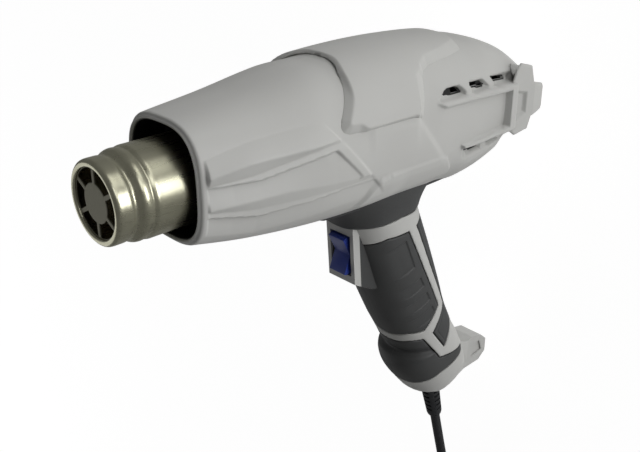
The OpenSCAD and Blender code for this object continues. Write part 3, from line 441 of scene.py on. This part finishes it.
def shell(name, side):
    """One half of the barrel: rows from the middle of the tail, round its edge, up the outside,
    over the lip and back down the inside; columns from the top seam to the bottom seam."""
    a = np.pi * ease(np.linspace(0, 1, 201)) * 0.35 + np.pi * np.linspace(0, 1, 201) * 0.65
    z = np.concatenate([np.arange(tail_z + tail_r, 30, 0.8), np.arange(30, 92, 0.4), np.arange(92, 130, 0.8),
                        np.arange(130, lip_z, 0.55)])
    t = np.linspace(0, np.pi / 2, 7)
    tail_rows = np.concatenate([
        np.stack([np.full(4, tail_z), np.array([-22, -16, -10, -5])], -1),
        np.stack([tail_z + tail_r - tail_r * np.cos(t[:-1]), -tail_r + tail_r * np.sin(t[:-1])], -1)])
    stations = np.concatenate([
        tail_rows, np.stack([z, 0 * z], -1),
        np.stack([lip_z + lip_r * np.sin(2 * t), -lip_r + lip_r * np.cos(2 * t)], -1)[:4],
        np.stack([mouth_z - lip_r + lip_r * np.cos(t), -lip_r - lip_r * np.sin(t)], -1),
        np.stack([np.linspace(mouth_z - 4, 12, inner_rows), np.full(inner_rows, -wall)], -1)])
    zz, aa = np.meshgrid(stations[:, 0], a, indexing="ij")
    off = np.repeat(stations[:, 1:2], len(a), 1)
    P = barrel(zz, aa, off)
    row = np.arange(len(zz))[:, None] * np.ones_like(aa)
    outer = (row >= len(tail_rows)) & (row < len(tail_rows) + len(z))
    rise = np.where(outer, relief(P[..., 0], zz), 0)
    du, dv = np.gradient(P, axis=0), np.gradient(P, axis=1)
    normal = unit(np.cross(dv, du))
    normal *= np.sign((normal * np.stack([P[..., 0], P[..., 1], 0 * zz], -1)).sum(-1, keepdims=True) + 1e-9)
    P = P + rise[..., None] * normal
    P[..., 1] -= draw_in * np.clip(P[..., 1] - flank_y, 0, None)
    stand = np.interp(zz, [20, 36, 60, 98], [34.8, 36.4, 37.4, 37.4])
    for outline in bars:
        k = ease(depth(outline, P[..., 0], zz) / 0.6) * outer * (aa > 0.6) * (aa < 2.6)
        P[..., 1] += k * np.clip(stand - P[..., 1], 0, None)
    open_ = np.max([depth(s, P[..., 0], zz) for s in slots], axis=0) * (P[..., 1] > 14)
    P[..., 1] -= slot_depth * ease(open_ / 0.3) * outer
    P[..., 1] *= side
    n, m = zz.shape
    quads = quads_of(n, m)
    quads = quads[(open_.ravel()[quads] < 0.3).any(1)]
    piece = make(name, P.reshape(-1, 3), (quads if side > 0 else quads[:, ::-1]).tolist(), abs_grey)
    piece.data.materials.append(black)
    piece.data.polygons.foreach_set("material_index", (quads[:, 0] // m >= n - inner_rows).astype(np.int32))
    return piece


for name, side, node in (("barrel_left", -1, "housing_left"), ("barrel_right", 1, "housing_right")):
    piece = shell(name, side)
    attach(piece, "tool")
    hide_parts(node)
dress(abs_grey, "housing_left", "housing_right")

# Saddle cover
# Raised cover over the middle of the barrel, in the same grey ABS. Its front edge is a short step
# and its rear edge a wide bevel that turns down the side; it clips over both halves.


def patch(name, surface, rows, cols, edge, height, finish, wall, clear=0.0):
    """Part of a surface inside an outline. Points just outside are slid along the surface's own two
    parameters onto the outline, faces beyond them are left out, each point stands off by a height
    that depends on its distance from the outline, and the sheet gets its wall inward."""
    n, m = len(rows), len(cols)
    i, j = np.meshgrid(np.arange(n) * 1.0, np.arange(m) * 1.0, indexing="ij")
    start = i.copy(), j.copy()

    def spot(i, j, grow=0.0):
        return surface(np.interp(i, np.arange(n), rows), np.interp(j, np.arange(m), cols), grow)

    first = edge(spot(i, j)) - clear
    gi, gj = np.gradient(first)
    size = np.maximum(gi ** 2 + gj ** 2, 1e-3)
    d = first
    for _ in range(4):
        i = np.clip(np.where(first < 0, i - d * gi / size, i), start[0] - 1.2, start[0] + 1.2).clip(0, n - 1)
        j = np.clip(np.where(first < 0, j - d * gj / size, j), start[1] - 1.2, start[1] + 1.2).clip(0, m - 1)
        d = edge(spot(i, j)) - clear
    d = np.maximum(d, 0)
    flat = spot(i, j)
    P = spot(i, j, height(flat, d)).reshape(-1, 3)
    quads = quads_of(n, m)
    quads = quads[(first.ravel()[quads] > 0).any(1)]
    used, faces = np.unique(quads, return_inverse=True)
    piece = make(name, P[used], faces.reshape(-1, 4).tolist(), finish)
    sheet = piece.modifiers.new("wall", "SOLIDIFY")
    sheet.thickness, sheet.offset = wall / 1000, -1
    return piece


def saddle_height(P, d):
    """Flat bevel up from the edge: wide along the rear, narrow at the front, narrowest below."""
    z = P[..., 2]
    front, rear = ease((z - 141) / 6), ease((110 - z) / 3)
    low, high = -1.0 * np.clip(front + rear, 0.1, 1), 1.38
    width = 0.8 + 2.8 * front + (2.2 + 2.8 * ease((29.5 - P[..., 0]) / 2)) * rear
    return low + (high - low) * np.clip(d / width, 0, 1)


saddle = patch("saddle_shell", barrel, np.arange(55, 158, 0.6), np.linspace(-1.6, 1.6, 220),
               inside(saddle_edge), saddle_height, abs_grey, 1.0)
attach(saddle, "tool")
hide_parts("saddle_cover")
dress(abs_grey, "saddle_cover")

# Rubber neck
# Dark soft rubber moulded over the root of the handle, flaring out to the barrel, with a lip
# that runs on as a narrow strip under the belly.
rubber = begin(bpy.data.materials.new("soft_rubber"))
# Overmoulded elastomer: charcoal, matt with a broad soft sheen and a fine even grain
spot = add(rubber, "ShaderNodeTexCoord")
cloud = add(rubber, "ShaderNodeTexNoise", [("Vector", spot, "Object"), ("Scale", 60.0), ("Detail", 3.0)])
tone = add(rubber, "ShaderNodeValToRGB", [("Fac", cloud, "Fac")], ramp=("3d3e3e", "464747"))
grit = add(rubber, "ShaderNodeTexNoise", [("Vector", spot, "Object"), ("Scale", 1800.0), ("Detail", 2.0)])
bump = add(rubber, "ShaderNodeBump", [("Height", grit, "Fac"), ("Strength", 0.2), ("Distance", 0.0002)])
body = add(rubber, "ShaderNodeBsdfPrincipled", [("Base Color", tone, 0), ("Roughness", 0.5),
                                                ("Normal", bump, 0)])
add(rubber, "ShaderNodeOutputMaterial", [("Surface", body, 0)])

rake, axis_z, grip_w = np.radians(23.3), 120.8, 41.0


def hp(s, u):
    """Side-view x and z of a place s down the handle and u forward of its axis."""
    return [-s * np.cos(rake) - u * np.sin(rake), axis_z - s * np.sin(rake) + u * np.cos(rake)]


ring_line = [hp(44, 40), hp(46, 21), hp(49.3, 11), hp(52.3, 0), hp(59, -14), hp(63, -40)]
neck_zone = [*ring_line, [0, 20], [0, 190]]
neck_rows = [[27, 150, 60, 27.5], [33, 143, 67, 25.8], [39, 136, 71.5, 23.6], [45, 130.5, 74.2, 21.8],
             [50, 127, 75, 21.0], [56, 123.5, 72.5, 20.7], [62, 120, 69.8, 20.6]]


def neck(x, angle, grow=0.0):
    """Point of the neck at a distance x below the barrel axis, at an angle from its front."""
    front, rear, half = (curve(neck_rows, x, k) for k in (1, 2, 3))
    z, y = oval((front - rear) / 2 + grow, (front - rear) / 2 + grow, half + grow, 2.3, angle)
    return np.stack([-x + 0 * z, y, (front + rear) / 2 + z], -1)


sleeve = patch("neck_rubber", neck, np.linspace(27, 62, 80), np.linspace(0, 2 * np.pi, 241),
               inside(neck_zone), lambda P, d: 0.8 * ease(d / 1.2) - 0.8, rubber, 1.5, 0.3)
strip = patch("belly_strip", barrel, np.linspace(46, 154, 160), np.linspace(2.0, 4.28, 140),
              inside([[-32.6, 49], [-33.5, 151], [-60, 151], [-60, 49]]),
              lambda P, d: 1.1 * ease(d / 1.0), rubber, 1.0)
for piece in (sleeve, strip):
    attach(piece, "tool")
    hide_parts("neck_sleeve")
dress(rubber, "neck_sleeve")

# Handle frame
# The grey core of the handle is moulded with the barrel halves. It shows as a ring under the neck,
# a band down the back, a lower ring, and a point that runs to the foot.
handle_rows = [[a, b, c, d * grip_w / 2, e] for a, b, c, d, e in [
    [30, 24, 24, 1.00, 2.3], [60, 22, 22, 1.00, 2.3], [90, 23, 21.5, 1.02, 2.3], [118, 22, 21, 0.98, 2.3],
    [130, 20.8, 20.5, 0.95, 2.3], [139, 20, 20.5, 0.93, 2.3], [148, 19.6, 20.8, 0.96, 2.3],
    [155.5, 24.2, 21.3, 1.00, 2.3], [168, 23.5, 23, 1.00, 2.4], [192, 17, 24, 0.86, 2.4]]]


def grip(s, angle, grow=0.0):
    """Point of the handle s down its axis, at an angle from its front, moved out by grow."""
    u, y = oval(*(curve(handle_rows, s, k) + grow for k in (1, 2, 3)), curve(handle_rows, s, 4), angle)
    x, z = hp(s, u)
    return np.stack([x, y, z], -1)


def along(P):
    """Distance down the handle and distance forward of its axis, of points."""
    x, z = P[..., 0], P[..., 2] - axis_z
    return -x * np.cos(rake) - z * np.sin(rake), -x * np.sin(rake) + z * np.cos(rake)


# Side-view outlines of the rubber pieces, as places down the handle and forward of its axis
pad_edge = [hp(59, 40), hp(59, 11), hp(64, -2), hp(94, -4), hp(127, -7.5), hp(134.5, 8), hp(131.5, 16),
            hp(131.5, 40)]
strap_edge = [hp(66, -40), hp(66, -9), hp(94, -10), hp(131.5, -13.5), hp(141, 2.5), hp(156, -1),
              hp(149, -16), hp(149, -40)]
sole_line = [[-171, 90], [-170, 76], [-161, 58], [-157, 36], [-157, 10]]
boot_edge = [hp(137.5, 40), hp(138, 16), hp(140.5, 9.5), hp(160, 4.5), [-153, 34], [-157, 36], [-161, 58],
             [-170, 76], [-171, 110]]
switch_x, hole_long, hole_wide, hole_floor = -67.3, 14.9, 7.2, 95


def switch_hole(P):
    """Distance into the straight-sided hole in the front of the handle that takes the switch."""
    x, y, z = P[..., 0], P[..., 1], P[..., 2]
    return np.min([hole_long - np.abs(x - switch_x), hole_wide - np.abs(y), z - hole_floor], axis=0)


def frame_edge(P):
    """Inside the handle but outside every rubber outline and the switch hole, and above the sole."""
    x, z = P[..., 0], P[..., 2]
    sole = [*sole_line, [-300, 10], [-300, 90]]
    cuts = [depth(o, x, z) for o in (neck_zone, pad_edge, strap_edge, boot_edge, sole)]
    return -np.max([*cuts, switch_hole(P)], axis=0)


def crown(r):
    """Height law that rounds an edge with radius r."""
    return lambda P, d: np.sqrt(r * r - np.clip(r - d, 0, r) ** 2) - r


def halves(name, make_side):
    """The same piece on the right side and, mirrored with its faces turned back, on the left."""
    made = []
    for label, side in (("left", -1), ("right", 1)):
        piece = make_side(f"{name}_{label}")
        if side < 0:
            co = np.zeros(len(piece.data.vertices) * 3, np.float32)
            piece.data.vertices.foreach_get("co", co)
            co.reshape(-1, 3)[:, 1] *= -1
            piece.data.vertices.foreach_set("co", co)
            piece.data.flip_normals()
        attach(piece, "tool")
        made.append(piece)
    return made


def frame_half(name):
    """Right half of the grey core, as a patch of the handle's surface."""
    return patch(name, grip, np.arange(40, 189, 0.7), np.linspace(0, np.pi, 120), frame_edge, crown(0.5),
                 abs_grey, 3.0, 0.25)


for piece, node in zip(halves("handle_frame", frame_half), ("housing_left", "housing_right")):
    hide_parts(node)

# Grip pads
# Two rubber pads round the front and sides of the handle, overmoulded into the frame, each with
# four shallow finger panels that are deepest at the back and run out towards the front.
panels = [[(67, 30), (67, 1.5), (87, 1.5), (88, 30)],
          [(95.5, 30), (96, 0), (104, -1), (104, 30)],
          [(108.5, 30), (109, -1.5), (116.5, -2.5), (117, 30)],
          [(121, 30), (121.5, -2.5), (127, -3.5), (130, 2), (130, 30)]]


def pad_height(P, d):
    """Rounded edge, less the panels: each sinks sharply at the back and runs out at the front."""
    s, u = along(P)
    h = crown(0.9)(P, d)
    for panel in panels:
        h -= 0.6 * ease(depth([(b, a) for a, b in panel], u, s) / 0.7) * ease((17 - u) / 9)
    return h


def pad_half(name):
    """Right pad, cut out round the switch."""
    return patch(name, grip, np.arange(57, 137, 0.4), np.linspace(0, 2.4, 170),
                 lambda P: np.minimum(inside(pad_edge)(P), -switch_hole(P)), pad_height,
                 rubber, 1.5, 0.3)


for piece, node in zip(halves("grip_rubber", pad_half), ("grip_pad_left", "grip_pad_right")):
    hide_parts(node)
dress(rubber, "grip_pad_left", "grip_pad_right")

# Back strap
# Rubber strip down the back of the handle, with one shallow line moulded round inside its edge.


def strap_height(P, d):
    """Rounded edge and a fine groove 2.4 mm in from it."""
    return crown(0.8)(P, d) - 0.3 * np.exp(-((d - 2.4) / 0.35) ** 2)


strap = patch("strap_rubber", grip, np.arange(63, 160, 0.5), np.linspace(0.9, 2 * np.pi - 0.9, 230),
              inside(strap_edge), strap_height, rubber, 1.5, 0.3)
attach(strap, "tool")
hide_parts("back_strap")
dress(rubber, "back_strap")

# Base boots
# Rubber over the foot of the handle, swelling forward into a stop for the hand. Moulded as a left
# and a right piece over the grey core.


def boot_height(P, d):
    """Rounded edge, with a scoop that starts over the swelling at the front and runs out behind."""
    s, u = along(P)
    t = s - np.interp(u, [-8, 24], [155.5, 149])
    return crown(0.9)(P, d) - 2.2 * np.where(t > 0, ease(1 - t / 2.2), ease(1 + t / 6)) * ease((u + 6) / 18)


def boot_half(name):
    """Right boot, from the ring above it down to the sole."""
    return patch(name, grip, np.arange(134, 191, 0.5), np.linspace(0, 2.8, 170),
                 inside(boot_edge), boot_height, rubber, 1.5, 0.3)


for piece, node in zip(halves("boot_rubber", boot_half), ("base_boot_left", "base_boot_right")):
    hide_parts(node)
dress(rubber, "base_boot_left", "base_boot_right")

# Foot cap, stand and strain relief
# Grey sole under the handle with the tab that the tool stands on, the rear stand with its two
# horns, and the ribbed rubber sleeve where the cord leaves. Moulded, with rounded edges.


tab_z, tab_root, tab_share = 22.5, -181.5, 0.64


def short_tab(P):
    """Draws the upper end of the standing tab in towards its root at the sole."""
    drawn = np.minimum(P[:, 0], tab_root + tab_share * (P[:, 0] - tab_root))
    P[:, 0] = np.where(P[:, 2] < tab_z, drawn, P[:, 0])
    return P


for name, node, finish, edge, slot, reshape in (
        ("foot_sole", "foot_cap", abs_grey, 0.6, "housing_grey", short_tab),
        ("cord_sleeve", "strain_relief", cord_rubber, 0.25, "cord_rubber", None)):
    piece = rounded(name, node, finish, edge, reshape)
    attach(piece, "tool")
    dress(finish, node)

# The stand's side cheeks, each with a sunk panel, and the bar across the tail that joins them
cheek = [[18.2, 30.5], [20.6, 27.5], [17.6, 17.3], [8.2, 14.0], [4.6, 1.5], [2.6, 0.1], [-8.4, 0.1],
         [-10.2, 1.6], [-10.6, 14.4], [-17, 17.0], [-18.2, 28.1], [-14.4, 33.4], [-14.4, 36.2],
         [11.2, 36.2], [10.9, 33.4]]
inset = [[6.8, 31.5], [4.2, 20.0], [-7.4, 20.2], [-11.4, 32]]


def cheek_height(P, d):
    """Rounded edge, falling in towards the tail, with the panel sunk behind a sloped edge."""
    x, z = P[..., 0], P[..., 2]
    lean = 3.6 * np.clip((13.5 - z) / 13.5, 0, 1)
    return crown(1.0)(P, d) - lean - 1.7 * np.clip(depth(inset, x, z) / 1.5, 0, 1)


def cheek_half(name):
    """Right cheek: a thick plate that lies flat on the flank of the barrel."""
    return patch(name, lambda x, z, grow: np.stack([x, 34.4 + grow + 0 * x, z], -1), np.arange(-20, 22, 0.45),
                 np.arange(-1.5, 39, 0.45), inside(cheek), cheek_height,
                 abs_grey, 7.5)


cheeks = halves("stand_cheek", cheek_half)
count = 30
y = np.linspace(-29, 29, count)
section = np.array([[3.9, 6.4], [3.9, 2.0], [3.2, 0.6], [2.2, 0.05], [-8.2, 0.05], [-9.2, 0.6], [-9.9, 2.0],
                    [-9.9, 6.4]])
grid = np.stack([np.repeat(section[None, :, 0], count, 0), np.repeat(y[:, None], len(section), 1),
                 np.repeat(section[None, :, 1], count, 0)], -1)
beam = skin("stand_beam", grid, abs_grey, caps=True, smooth=False)
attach(beam, "tool")
for piece in (*cheeks, beam):
    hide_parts("stand_bumper")
dress(abs_grey, "stand_bumper")

# Switch bezel and rocker
# Grey frame clipped in the front of the handle, and a blue two-position rocker pivoted between
# its cheeks, pressed down at the end away from the barrel.
blue = begin(bpy.data.materials.new("blue_rocker"))
# Moulded ABS in a strong blue: half-gloss with a fine grain and a faintly uneven tone
spot = add(blue, "ShaderNodeTexCoord")
cloud = add(blue, "ShaderNodeTexNoise", [("Vector", spot, "Object"), ("Scale", 120.0)])
tone = add(blue, "ShaderNodeValToRGB", [("Fac", cloud, "Fac")], ramp=("26388a", "2e4299"))
grit = add(blue, "ShaderNodeTexNoise", [("Vector", spot, "Object"), ("Scale", 2500.0)])
bump = add(blue, "ShaderNodeBump", [("Height", grit, "Fac"), ("Strength", 0.12), ("Distance", 0.0001)])
body = add(blue, "ShaderNodeBsdfPrincipled", [("Base Color", tone, 0), ("Roughness", 0.36),
                                              ("Normal", bump, 0)])
add(blue, "ShaderNodeOutputMaterial", [("Surface", body, 0)])
pull_in, front_slope, rocker_share = 3.4, 0.24, 0.78


def short_slot(P):
    """Draws both ends of the rocker's opening towards its middle, along the sloping front."""
    x, y, z = P.T
    far = (np.abs(y) < 7.4) & (np.abs(np.abs(x - switch_x) - 15) < 0.3)
    P[:, 0] -= np.where(far, pull_in * np.sign(x - switch_x), 0)
    P[:, 2] -= np.where(far & (z > 118), front_slope * np.sign(x - switch_x), 0)
    return P


def short_rocker(P):
    """Shortens the rocker about its pivot."""
    P[:, 0] = switch_x + rocker_share * (P[:, 0] - switch_x)
    return P


piece = rounded("bezel_frame", "switch_bezel", abs_grey, 0.4, reshape=short_slot)
# Behind a line 4.5 mm in from the front its sides are covered by rubber, flush with the pads
line_at, line_up = Vector((-0.0494, 0, 0.1197)), Vector((-0.0712, 0, 0.9975))
work = bmesh.new()
work.from_mesh(piece.data)
bmesh.ops.bisect_plane(work, geom=[*work.verts, *work.edges, *work.faces], dist=1e-6,
                       plane_co=line_at, plane_no=line_up)
for face in work.faces:
    below = line_up.dot(face.calc_center_median() - line_at) < 0
    face.material_index = int(below and abs(face.normal.y) > 0.7)
work.to_mesh(piece.data)
work.free()
piece.data.materials.append(rubber)
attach(piece, "tool")
piece = rounded("rocker_cap", "switch_rocker", blue, 0.45, reshape=short_rocker)
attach(piece, "rocker")
dress(abs_grey, "switch_bezel")
dress(blue, "switch_rocker")

# Nozzle tube
# Drawn stainless tube with a rolled bead behind the collar and a rounded rim. Heat has given the
# steel a pale straw cast; a punched grille closes the outlet.
steel = begin(bpy.data.materials.new("heat_straw_steel"))
# Polished stainless with a straw heat tint, streaked faintly along the drawing direction
spot = add(steel, "ShaderNodeTexCoord")
span = add(steel, "ShaderNodeMapping", [("Vector", spot, "Object"), ("Scale", (400.0, 400.0, 30.0))])
grain = add(steel, "ShaderNodeTexNoise", [("Vector", span, 0), ("Scale", 1.0), ("Detail", 3.0)])
tone = add(steel, "ShaderNodeValToRGB", [("Fac", grain, "Fac")], ramp=("c8c6ac", "d6d4bd"))
dull = add(steel, "ShaderNodeMapRange", [("Value", grain, "Fac"), ("To Min", 0.24), ("To Max", 0.32)])
body = add(steel, "ShaderNodeBsdfPrincipled", [("Base Color", tone, 0), ("Roughness", dull, 0),
                                               ("Metallic", 1.0)])
add(steel, "ShaderNodeOutputMaterial", [("Surface", body, 0)])


def turned(name, profile, finish, sides=160):
    """Solid of revolution about Z of a closed profile of radius and height."""
    a = 2 * np.pi * np.arange(sides) / sides
    p = np.array([*profile, profile[0]], float)
    ring = np.stack([np.outer(p[:, 0], np.cos(a)), np.outer(p[:, 0], np.sin(a)),
                     np.repeat(p[:, 1:], sides, 1)], -1)
    return skin(name, ring, finish, flip=True)


bead = spline([(19.6, 238), (19.6, 239.8), (19.35, 241), (19.05, 242), (19.2, 243), (19.3, 244.4),
               (19.0, 246), (18.2, 247.4), (17.55, 248.6), (17.5, 249.6), (17.85, 250.8), (17.9, 252.5),
               (17.9, 255.4), (17.6, 256.7), (16.8, 257.45), (15.8, 257.55), (15.0, 257.25),
               (14.75, 256.6), (14.75, 256)], 120)
tube_wall = turned("steel_tube", [(19.6, 108), *bead.tolist(), (16.9, 255.5), (16.9, 248.8), (18.6, 245),
                                  (18.8, 238), (18.8, 108)], steel)
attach(tube_wall, "tool")
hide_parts("nozzle_tube")
dress(steel, "nozzle_tube")

outlet = begin(bpy.data.materials.new("outlet_steel_tint_and_painted_shade"))
# Satin punched sheet: duller than the tube, with small even scratches. Its olive cast is heat tint; its
# darker grey than the tube's is painted shade of the outward face, which is turned away from the lamps
spot = add(outlet, "ShaderNodeTexCoord")
grain = add(outlet, "ShaderNodeTexNoise", [("Vector", spot, "Object"), ("Scale", 900.0), ("Detail", 4.0)])
tone = add(outlet, "ShaderNodeValToRGB", [("Fac", grain, "Fac")], ramp=("8e8c7a", "9c9a88"))
body = add(outlet, "ShaderNodeBsdfPrincipled", [("Base Color", tone, 0), ("Roughness", 0.55),
                                                ("Metallic", 0.55)])
add(outlet, "ShaderNodeOutputMaterial", [("Surface", body, 0)])


hub_r, rim_r, half_spoke = 8.5, 14.4, 1.0


def grille_edge(P):
    """Distance into the metal of the grille: its middle disc, its rim or one of its six spokes."""
    x, y = P[..., 0], P[..., 1]
    r = np.hypot(x, y)
    turn = np.mod(np.arctan2(y, x) + np.pi / 6, np.pi / 3) - np.pi / 6
    return np.max([hub_r - r, r - rim_r, half_spoke - np.abs(r * np.sin(turn)) - 9 * (r < 1)], axis=0)


def disc(r, a, grow=0.0):
    """Point of the outlet's flat face at a radius and an angle."""
    return np.stack([r * np.cos(a), -r * np.sin(a), 256.5 + grow + 0 * r], -1)


grille = patch("outlet_plate", disc, np.linspace(0.05, 14.9, 50), np.linspace(0, 2 * np.pi, 361), grille_edge,
               crown(0.25), outlet, 0.8)
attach(grille, "tool")
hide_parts("outlet_grille")
dress(outlet, "outlet_grille")

# Mouth liner
# Black heat-proof sleeve inside the mouth of the barrel, with a baffle that closes it to the tube.
# Moulded in glass-filled plastic and clipped in between the halves.
around, ring_r, ring_z, inset_by = 160, 19.5, 204.5, 2.75
a = np.linspace(0, 2 * np.pi, around + 1)[:-1]
rows = [barrel(np.full(around, z), a, -inset_by) for z in np.linspace(224.6, 206, 24)]
ring = np.stack([ring_r * np.cos(a), ring_r * np.sin(a), np.full(around, ring_z)], -1)
rows += [rows[-1] * (1 - k) + ring * k for k in (0.1, 0.4, 0.7, 1.0)]
liner = skin("mouth_sleeve", np.array(rows), black)
sheet = liner.modifiers.new("wall", "SOLIDIFY")
sheet.thickness, sheet.offset = 0.0003, -1
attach(liner, "tool")
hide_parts("mouth_liner")
dress(black, "mouth_liner")

# Heater
# Cross-shaped ceramic former with a coiled resistance wire in its grooves, inside a rolled mica
# sleeve, and a thermal cut-out clipped at its cool end. It slides into the tube from behind.
ceramic = begin(bpy.data.materials.new("fired_ceramic"))
# Unglazed steatite: off-white, dead matt, with fine pits
spot = add(ceramic, "ShaderNodeTexCoord")
pits = add(ceramic, "ShaderNodeTexNoise", [("Vector", spot, "Object"), ("Scale", 1500.0), ("Detail", 4.0)])
tone = add(ceramic, "ShaderNodeValToRGB", [("Fac", pits, "Fac")], ramp=("cfc8b8", "e9e4d8"))
bump = add(ceramic, "ShaderNodeBump", [("Height", pits, "Fac"), ("Strength", 0.3), ("Distance", 0.0002)])
body = add(ceramic, "ShaderNodeBsdfPrincipled", [("Base Color", tone, 0), ("Roughness", 0.85),
                                                 ("Normal", bump, 0)])
add(ceramic, "ShaderNodeOutputMaterial", [("Surface", body, 0)])
wire = begin(bpy.data.materials.new("oxidised_nichrome"))
# Resistance wire after use: dull grey with brown and blue heat stains along its length
spot = add(wire, "ShaderNodeTexCoord")
stain = add(wire, "ShaderNodeTexNoise", [("Vector", spot, "Object"), ("Scale", 120.0), ("Detail", 2.0)])
tone = add(wire, "ShaderNodeValToRGB", [("Fac", stain, "Fac")], ramp=("5d5248", "777a80"))
body = add(wire, "ShaderNodeBsdfPrincipled", [("Base Color", tone, 0), ("Roughness", 0.5), ("Metallic", 1.0)])
add(wire, "ShaderNodeOutputMaterial", [("Surface", body, 0)])
mica = begin(bpy.data.materials.new("rolled_mica"))
# Pressed mica sheet: amber-silver flakes that catch the light one by one
spot = add(mica, "ShaderNodeTexCoord")
flake = add(mica, "ShaderNodeTexVoronoi", [("Vector", spot, "Object"), ("Scale", 300.0)])
tone = add(mica, "ShaderNodeValToRGB", [("Fac", flake, "Color")], ramp=("a8977a", "cdbf9f"))
gloss = add(mica, "ShaderNodeMapRange", [("Value", flake, "Distance"), ("To Min", 0.25), ("To Max", 0.5)])
body = add(mica, "ShaderNodeBsdfPrincipled", [("Base Color", tone, 0), ("Roughness", gloss, 0),
                                              ("Metallic", 0.3)])
add(mica, "ShaderNodeOutputMaterial", [("Surface", body, 0)])
dress(ceramic, "heater_core")
dress(wire, "heater_winding")
dress(mica, "mica_sleeve")

# Motor and fan
# Small DC motor in a drawn can behind the heater, with two ferrite magnets and a wound rotor, and
# a moulded centrifugal wheel on its shaft inside a black shroud.
zinc = begin(bpy.data.materials.new("zinc_plate"))
# Bright zinc on drawn steel: cool grey with the faint spangle of the plating
spot = add(zinc, "ShaderNodeTexCoord")
spangle = add(zinc, "ShaderNodeTexVoronoi", [("Vector", spot, "Object"), ("Scale", 600.0)])
tone = add(zinc, "ShaderNodeValToRGB", [("Fac", spangle, "Distance")], ramp=("b9bcc0", "a3a7ac"))
body = add(zinc, "ShaderNodeBsdfPrincipled", [("Base Color", tone, 0), ("Roughness", 0.34),
                                              ("Metallic", 1.0)])
add(zinc, "ShaderNodeOutputMaterial", [("Surface", body, 0)])
ferrite = begin(bpy.data.materials.new("sintered_ferrite"))
# Sintered ferrite: charcoal, matt and slightly grainy
spot = add(ferrite, "ShaderNodeTexCoord")
grain = add(ferrite, "ShaderNodeTexNoise", [("Vector", spot, "Object"), ("Scale", 2000.0), ("Detail", 3.0)])
tone = add(ferrite, "ShaderNodeValToRGB", [("Fac", grain, "Fac")], ramp=("29292b", "3a3a3d"))
body = add(ferrite, "ShaderNodeBsdfPrincipled", [("Base Color", tone, 0), ("Roughness", 0.7)])
add(ferrite, "ShaderNodeOutputMaterial", [("Surface", body, 0)])
stack = begin(bpy.data.materials.new("wound_rotor"))
# Stacked laminations and enamelled copper: fine bands 0.5 mm apart along the shaft
spot = add(stack, "ShaderNodeTexCoord")
band = add(stack, "ShaderNodeTexWave", [("Vector", spot, "Object"), ("Scale", 314.0)], bands_direction="Z")
tone = add(stack, "ShaderNodeValToRGB", [("Fac", band, "Fac")], ramp=("7c4a2c", "a9785a"))
body = add(stack, "ShaderNodeBsdfPrincipled", [("Base Color", tone, 0), ("Roughness", 0.4),
                                               ("Metallic", 0.8)])
add(stack, "ShaderNodeOutputMaterial", [("Surface", body, 0)])
nylon = begin(bpy.data.materials.new("natural_nylon"))
# Unpigmented nylon: creamy white and a little waxy, with light passing just under its skin
spot = add(nylon, "ShaderNodeTexCoord")
cloud = add(nylon, "ShaderNodeTexNoise", [("Vector", spot, "Object"), ("Scale", 150.0)])
tone = add(nylon, "ShaderNodeValToRGB", [("Fac", cloud, "Fac")], ramp=("dad5c6", "e8e4d8"))
body = add(nylon, "ShaderNodeBsdfPrincipled", [("Base Color", tone, 0), ("Roughness", 0.45),
                                               ("Subsurface Weight", 0.1),
                                               ("Subsurface Scale", 0.002)])
add(nylon, "ShaderNodeOutputMaterial", [("Surface", body, 0)])
dress(zinc, "motor_can", "thermal_cutout")
dress(ferrite, "motor_magnets")
dress(stack, "rotor")
dress(nylon, "fan_wheel", "terminal_block")
dress(black, "fan_shroud", "motor_end_cap", "switch_body", "cord_clamp")

# Circuit board, plug pins and screws
# Small control board in the handle, the plug's two nickel-plated brass pins, and the zinc-plated
# self-tapping screws of the housing and the cord clamp.
board = begin(bpy.data.materials.new("solder_mask"))
# Green solder mask over copper: glossy, with paler and darker patches where tracks run below
spot = add(board, "ShaderNodeTexCoord")
track = add(board, "ShaderNodeTexBrick", [("Vector", spot, "Object"), ("Color1", srgb("2a6a42")),
                                          ("Color2", srgb("327a4d")),
                                          ("Mortar", srgb("24583a")), ("Scale", 60.0)])
body = add(board, "ShaderNodeBsdfPrincipled", [("Base Color", track, "Color"), ("Roughness", 0.3)])
add(board, "ShaderNodeOutputMaterial", [("Surface", body, 0)])
nickel = begin(bpy.data.materials.new("nickel_plate"))
# Bright nickel on brass: warm silver with fine polishing lines along the pin
spot = add(nickel, "ShaderNodeTexCoord")
span = add(nickel, "ShaderNodeMapping", [("Vector", spot, "Object"), ("Scale", (60.0, 1500.0, 1500.0))])
line = add(nickel, "ShaderNodeTexNoise", [("Vector", span, 0), ("Scale", 1.0), ("Detail", 2.0)])
tone = add(nickel, "ShaderNodeValToRGB", [("Fac", line, "Fac")], ramp=("c3beb2", "d4d0c6"))
body = add(nickel, "ShaderNodeBsdfPrincipled", [("Base Color", tone, 0), ("Roughness", 0.22),
                                                ("Metallic", 1.0)])
add(nickel, "ShaderNodeOutputMaterial", [("Surface", body, 0)])
dress(board, "control_board")
dress(nickel, "plug_pins")
dress(zinc, "housing_screws", "clamp_screws")
